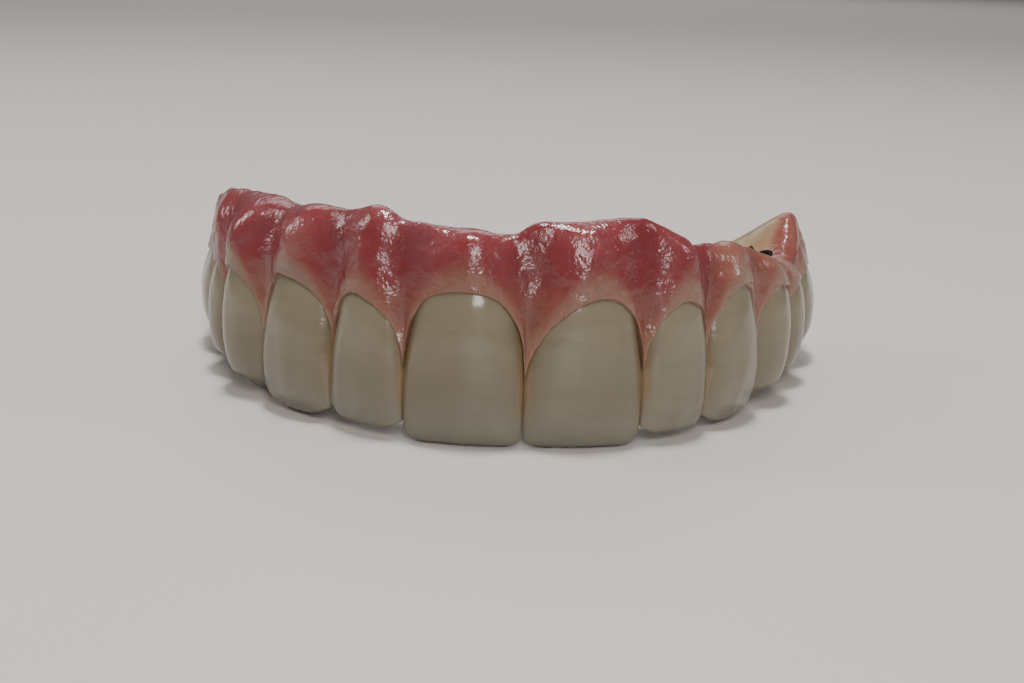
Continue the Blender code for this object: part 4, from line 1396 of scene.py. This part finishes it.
def sleeve_section(rings):
    """Points (radius, 0, height above the mouth) around one side of a sleeve's section."""
    low = -SLEEVE_LENGTH
    seat = low + SLEEVE_SEAT_HEIGHT
    groove = SLEEVE_RADIUS - RING_DEPTH
    pitch = (SLEEVE_LENGTH - RINGS_MARGIN) / max(rings, 1)
    points = [(SLEEVE_RADIUS - FOOT_CHAMFER, low), (SLEEVE_RADIUS, low + FOOT_CHAMFER)]
    for ring in range(rings):
        base = low + RINGS_START + ring * pitch
        start, end, out = (base + pitch * share for share in RING_SHARES)
        points += [(SLEEVE_RADIUS, base), (groove, start), (groove, end), (SLEEVE_RADIUS, out)]
    points += [(SLEEVE_RADIUS, -SLEEVE_CHAMFER), (SLEEVE_RADIUS - SLEEVE_CHAMFER, 0.0)]
    points += [(SLEEVE_BORE_RADIUS + SLEEVE_CHAMFER, 0.0), (SLEEVE_BORE_RADIUS, -SLEEVE_CHAMFER)]
    points += [(SLEEVE_BORE_RADIUS, seat), (SLEEVE_SEAT_RADIUS, seat - SLEEVE_SEAT_HEIGHT / 2.0)]
    points += [(SLEEVE_SEAT_RADIUS, low)]
    return [(radius, 0.0, height) for radius, height in points]


class DENTURE_OT_sleeves(bpy.types.Operator):
    """Turns the six metal sleeves"""

    bl_idname = "denture.sleeves"
    bl_label = "Sleeves"

    def execute(self, context):
        settings = context.scene.denture_sleeves
        material = sleeve_titanium(settings)
        tree = turning_tree()
        sockets = {s.name: s.identifier for s in tree.interface.items_tree if s.in_out == "INPUT"}
        section = sleeve_section(settings.rings)
        for sleeve in SLEEVES:
            mesh = bpy.data.meshes.new(sleeve.node + "_turned")
            mesh.from_pydata(section, [], [])
            piece = placed(sleeve.node + "_turned", mesh)
            modifier = piece.modifiers.new("turning", "NODES")
            modifier.node_group = tree
            modifier[sockets["Facets"]] = settings.facets
            modifier[sockets["Mouth"]] = tuple(sleeve.mouth)
            modifier[sockets["Lean"]] = tuple(Vector(sleeve.axis).to_track_quat("Z", "Y").to_euler())
            modifier[sockets["Metal"]] = material
            plain(piece)
            smooth_outward(piece.data)
            piece.data.set_sharp_from_angle(angle=METAL_SHARP_EDGE)
            dress(piece, sleeve.node, material)
        return {"FINISHED"}


# The room: corners of the table, and for each light its place, its two sizes and its colour. All but
# the rear one, which points down, face the denture.
TABLE_CORNERS = ((-2.0, -2.0, 0.0), (2.0, -2.0, 0.0), (2.0, 4.0, 0.0), (-2.0, 4.0, 0.0))
ROOM_COLOUR = (0.97, 0.98, 1.0, 1.0)
LIGHTS = {
    "ceiling": ((-0.01, 0.04, 0.70), (0.11, 0.11), (1.0, 0.99, 0.98)),
    "lamp": ((0.03, -0.42, 0.28), (0.10, 0.40), (1.0, 0.96, 0.94)),
    "left": ((-0.42, 0.08, 0.24), (0.07, 0.20), (1.0, 0.98, 0.96)),
    "right": ((0.40, -0.06, 0.24), (0.05, 0.16), (1.0, 0.98, 0.96)),
    "rear": ((0.0, 1.7, 1.2), (1.6, 1.2), (1.0, 0.99, 0.98)),
}
LIT_PLACE = Vector((0.0, 0.0, 0.01))

# The camera, as fitted to the photograph: metres, degrees and millimetres.
CAMERA_PLACE = (-0.0065881, -0.1214723, 0.0339)
CAMERA_TURN = (75.92066, -2.06607, -2.45196)
CAMERA_LENS = 53.05
CAMERA_SENSOR = 36.0
CAMERA_NEAREST = 0.005


class DENTURE_OT_stage(bpy.types.Operator):
    """Sets the table, the light and the camera"""

    bl_idname = "denture.stage"
    bl_label = "Stage"

    def execute(self, context):
        settings = context.scene.denture_stage
        mesh = bpy.data.meshes.new("table_top")
        mesh.from_pydata(TABLE_CORNERS, [], [(0, 1, 2, 3)])
        mesh.materials.append(table_top(settings))
        floor = placed("table_top", mesh)

        world = bpy.data.worlds.new("room")
        world.use_nodes = True
        background = world.node_tree.nodes["Background"]
        background.inputs["Color"].default_value = ROOM_COLOUR
        background.inputs["Strength"].default_value = settings.room
        context.scene.world = world
        for name, (place, size, colour) in LIGHTS.items():
            light = bpy.data.lights.new(name, "AREA")
            light.shape = "RECTANGLE"
            light.size, light.size_y = size
            light.energy = getattr(settings, name)
            light.color = colour
            lamp = placed(name, light)
            lamp.location = place
            if name != "rear":
                facing = LIT_PLACE - Vector(place)
                lamp.rotation_euler = facing.to_track_quat("-Z", "Y").to_euler()

        camera = placed("camera", bpy.data.cameras.new("camera"))
        camera.location = CAMERA_PLACE
        camera.rotation_euler = Euler([math.radians(angle) for angle in CAMERA_TURN])
        camera.data.sensor_width = CAMERA_SENSOR
        camera.data.lens = CAMERA_LENS
        camera.data.clip_start = CAMERA_NEAREST
        context.scene.camera = camera
        return {"FINISHED"}


class DENTURE_PT_panel(bpy.types.Panel):
    """Lists the pieces in the sidebar"""

    bl_idname = "DENTURE_PT_panel"
    bl_label = "Denture"
    bl_space_type = "VIEW_3D"
    bl_region_type = "UI"
    bl_category = "Denture"

    def draw(self, context):
        for operator, _, settings in PARTS:
            box = self.layout.box()
            box.operator(operator.bl_idname)
            group = getattr(context.scene, settings)
            for label in group.__annotations__:
                box.prop(group, label)


PARTS = (
    (DENTURE_OT_teeth, ToothSettings, "denture_teeth"),
    (DENTURE_OT_gum, GumSettings, "denture_gum"),
    (DENTURE_OT_framework, FrameworkSettings, "denture_framework"),
    (DENTURE_OT_sleeves, SleeveSettings, "denture_sleeves"),
    (DENTURE_OT_stage, StageSettings, "denture_stage"),
)


def register():
    """Adds the settings, operators and panel."""
    for operator, group, settings in PARTS:
        bpy.utils.register_class(group)
        bpy.utils.register_class(operator)
        setattr(bpy.types.Scene, settings, PointerProperty(type=group))
    bpy.utils.register_class(DENTURE_PT_panel)


def unregister():
    """Takes them away again."""
    bpy.utils.unregister_class(DENTURE_PT_panel)
    for operator, group, settings in PARTS:
        delattr(bpy.types.Scene, settings)
        bpy.utils.unregister_class(operator)
        bpy.utils.unregister_class(group)


def main():
    """Builds the whole denture and its stage."""
    register()
    bpy.ops.denture.stage()
    bpy.ops.denture.sleeves()
    bpy.ops.denture.framework()
    bpy.ops.denture.gum()
    bpy.ops.denture.teeth()


if __name__ == "__main__":
    main()
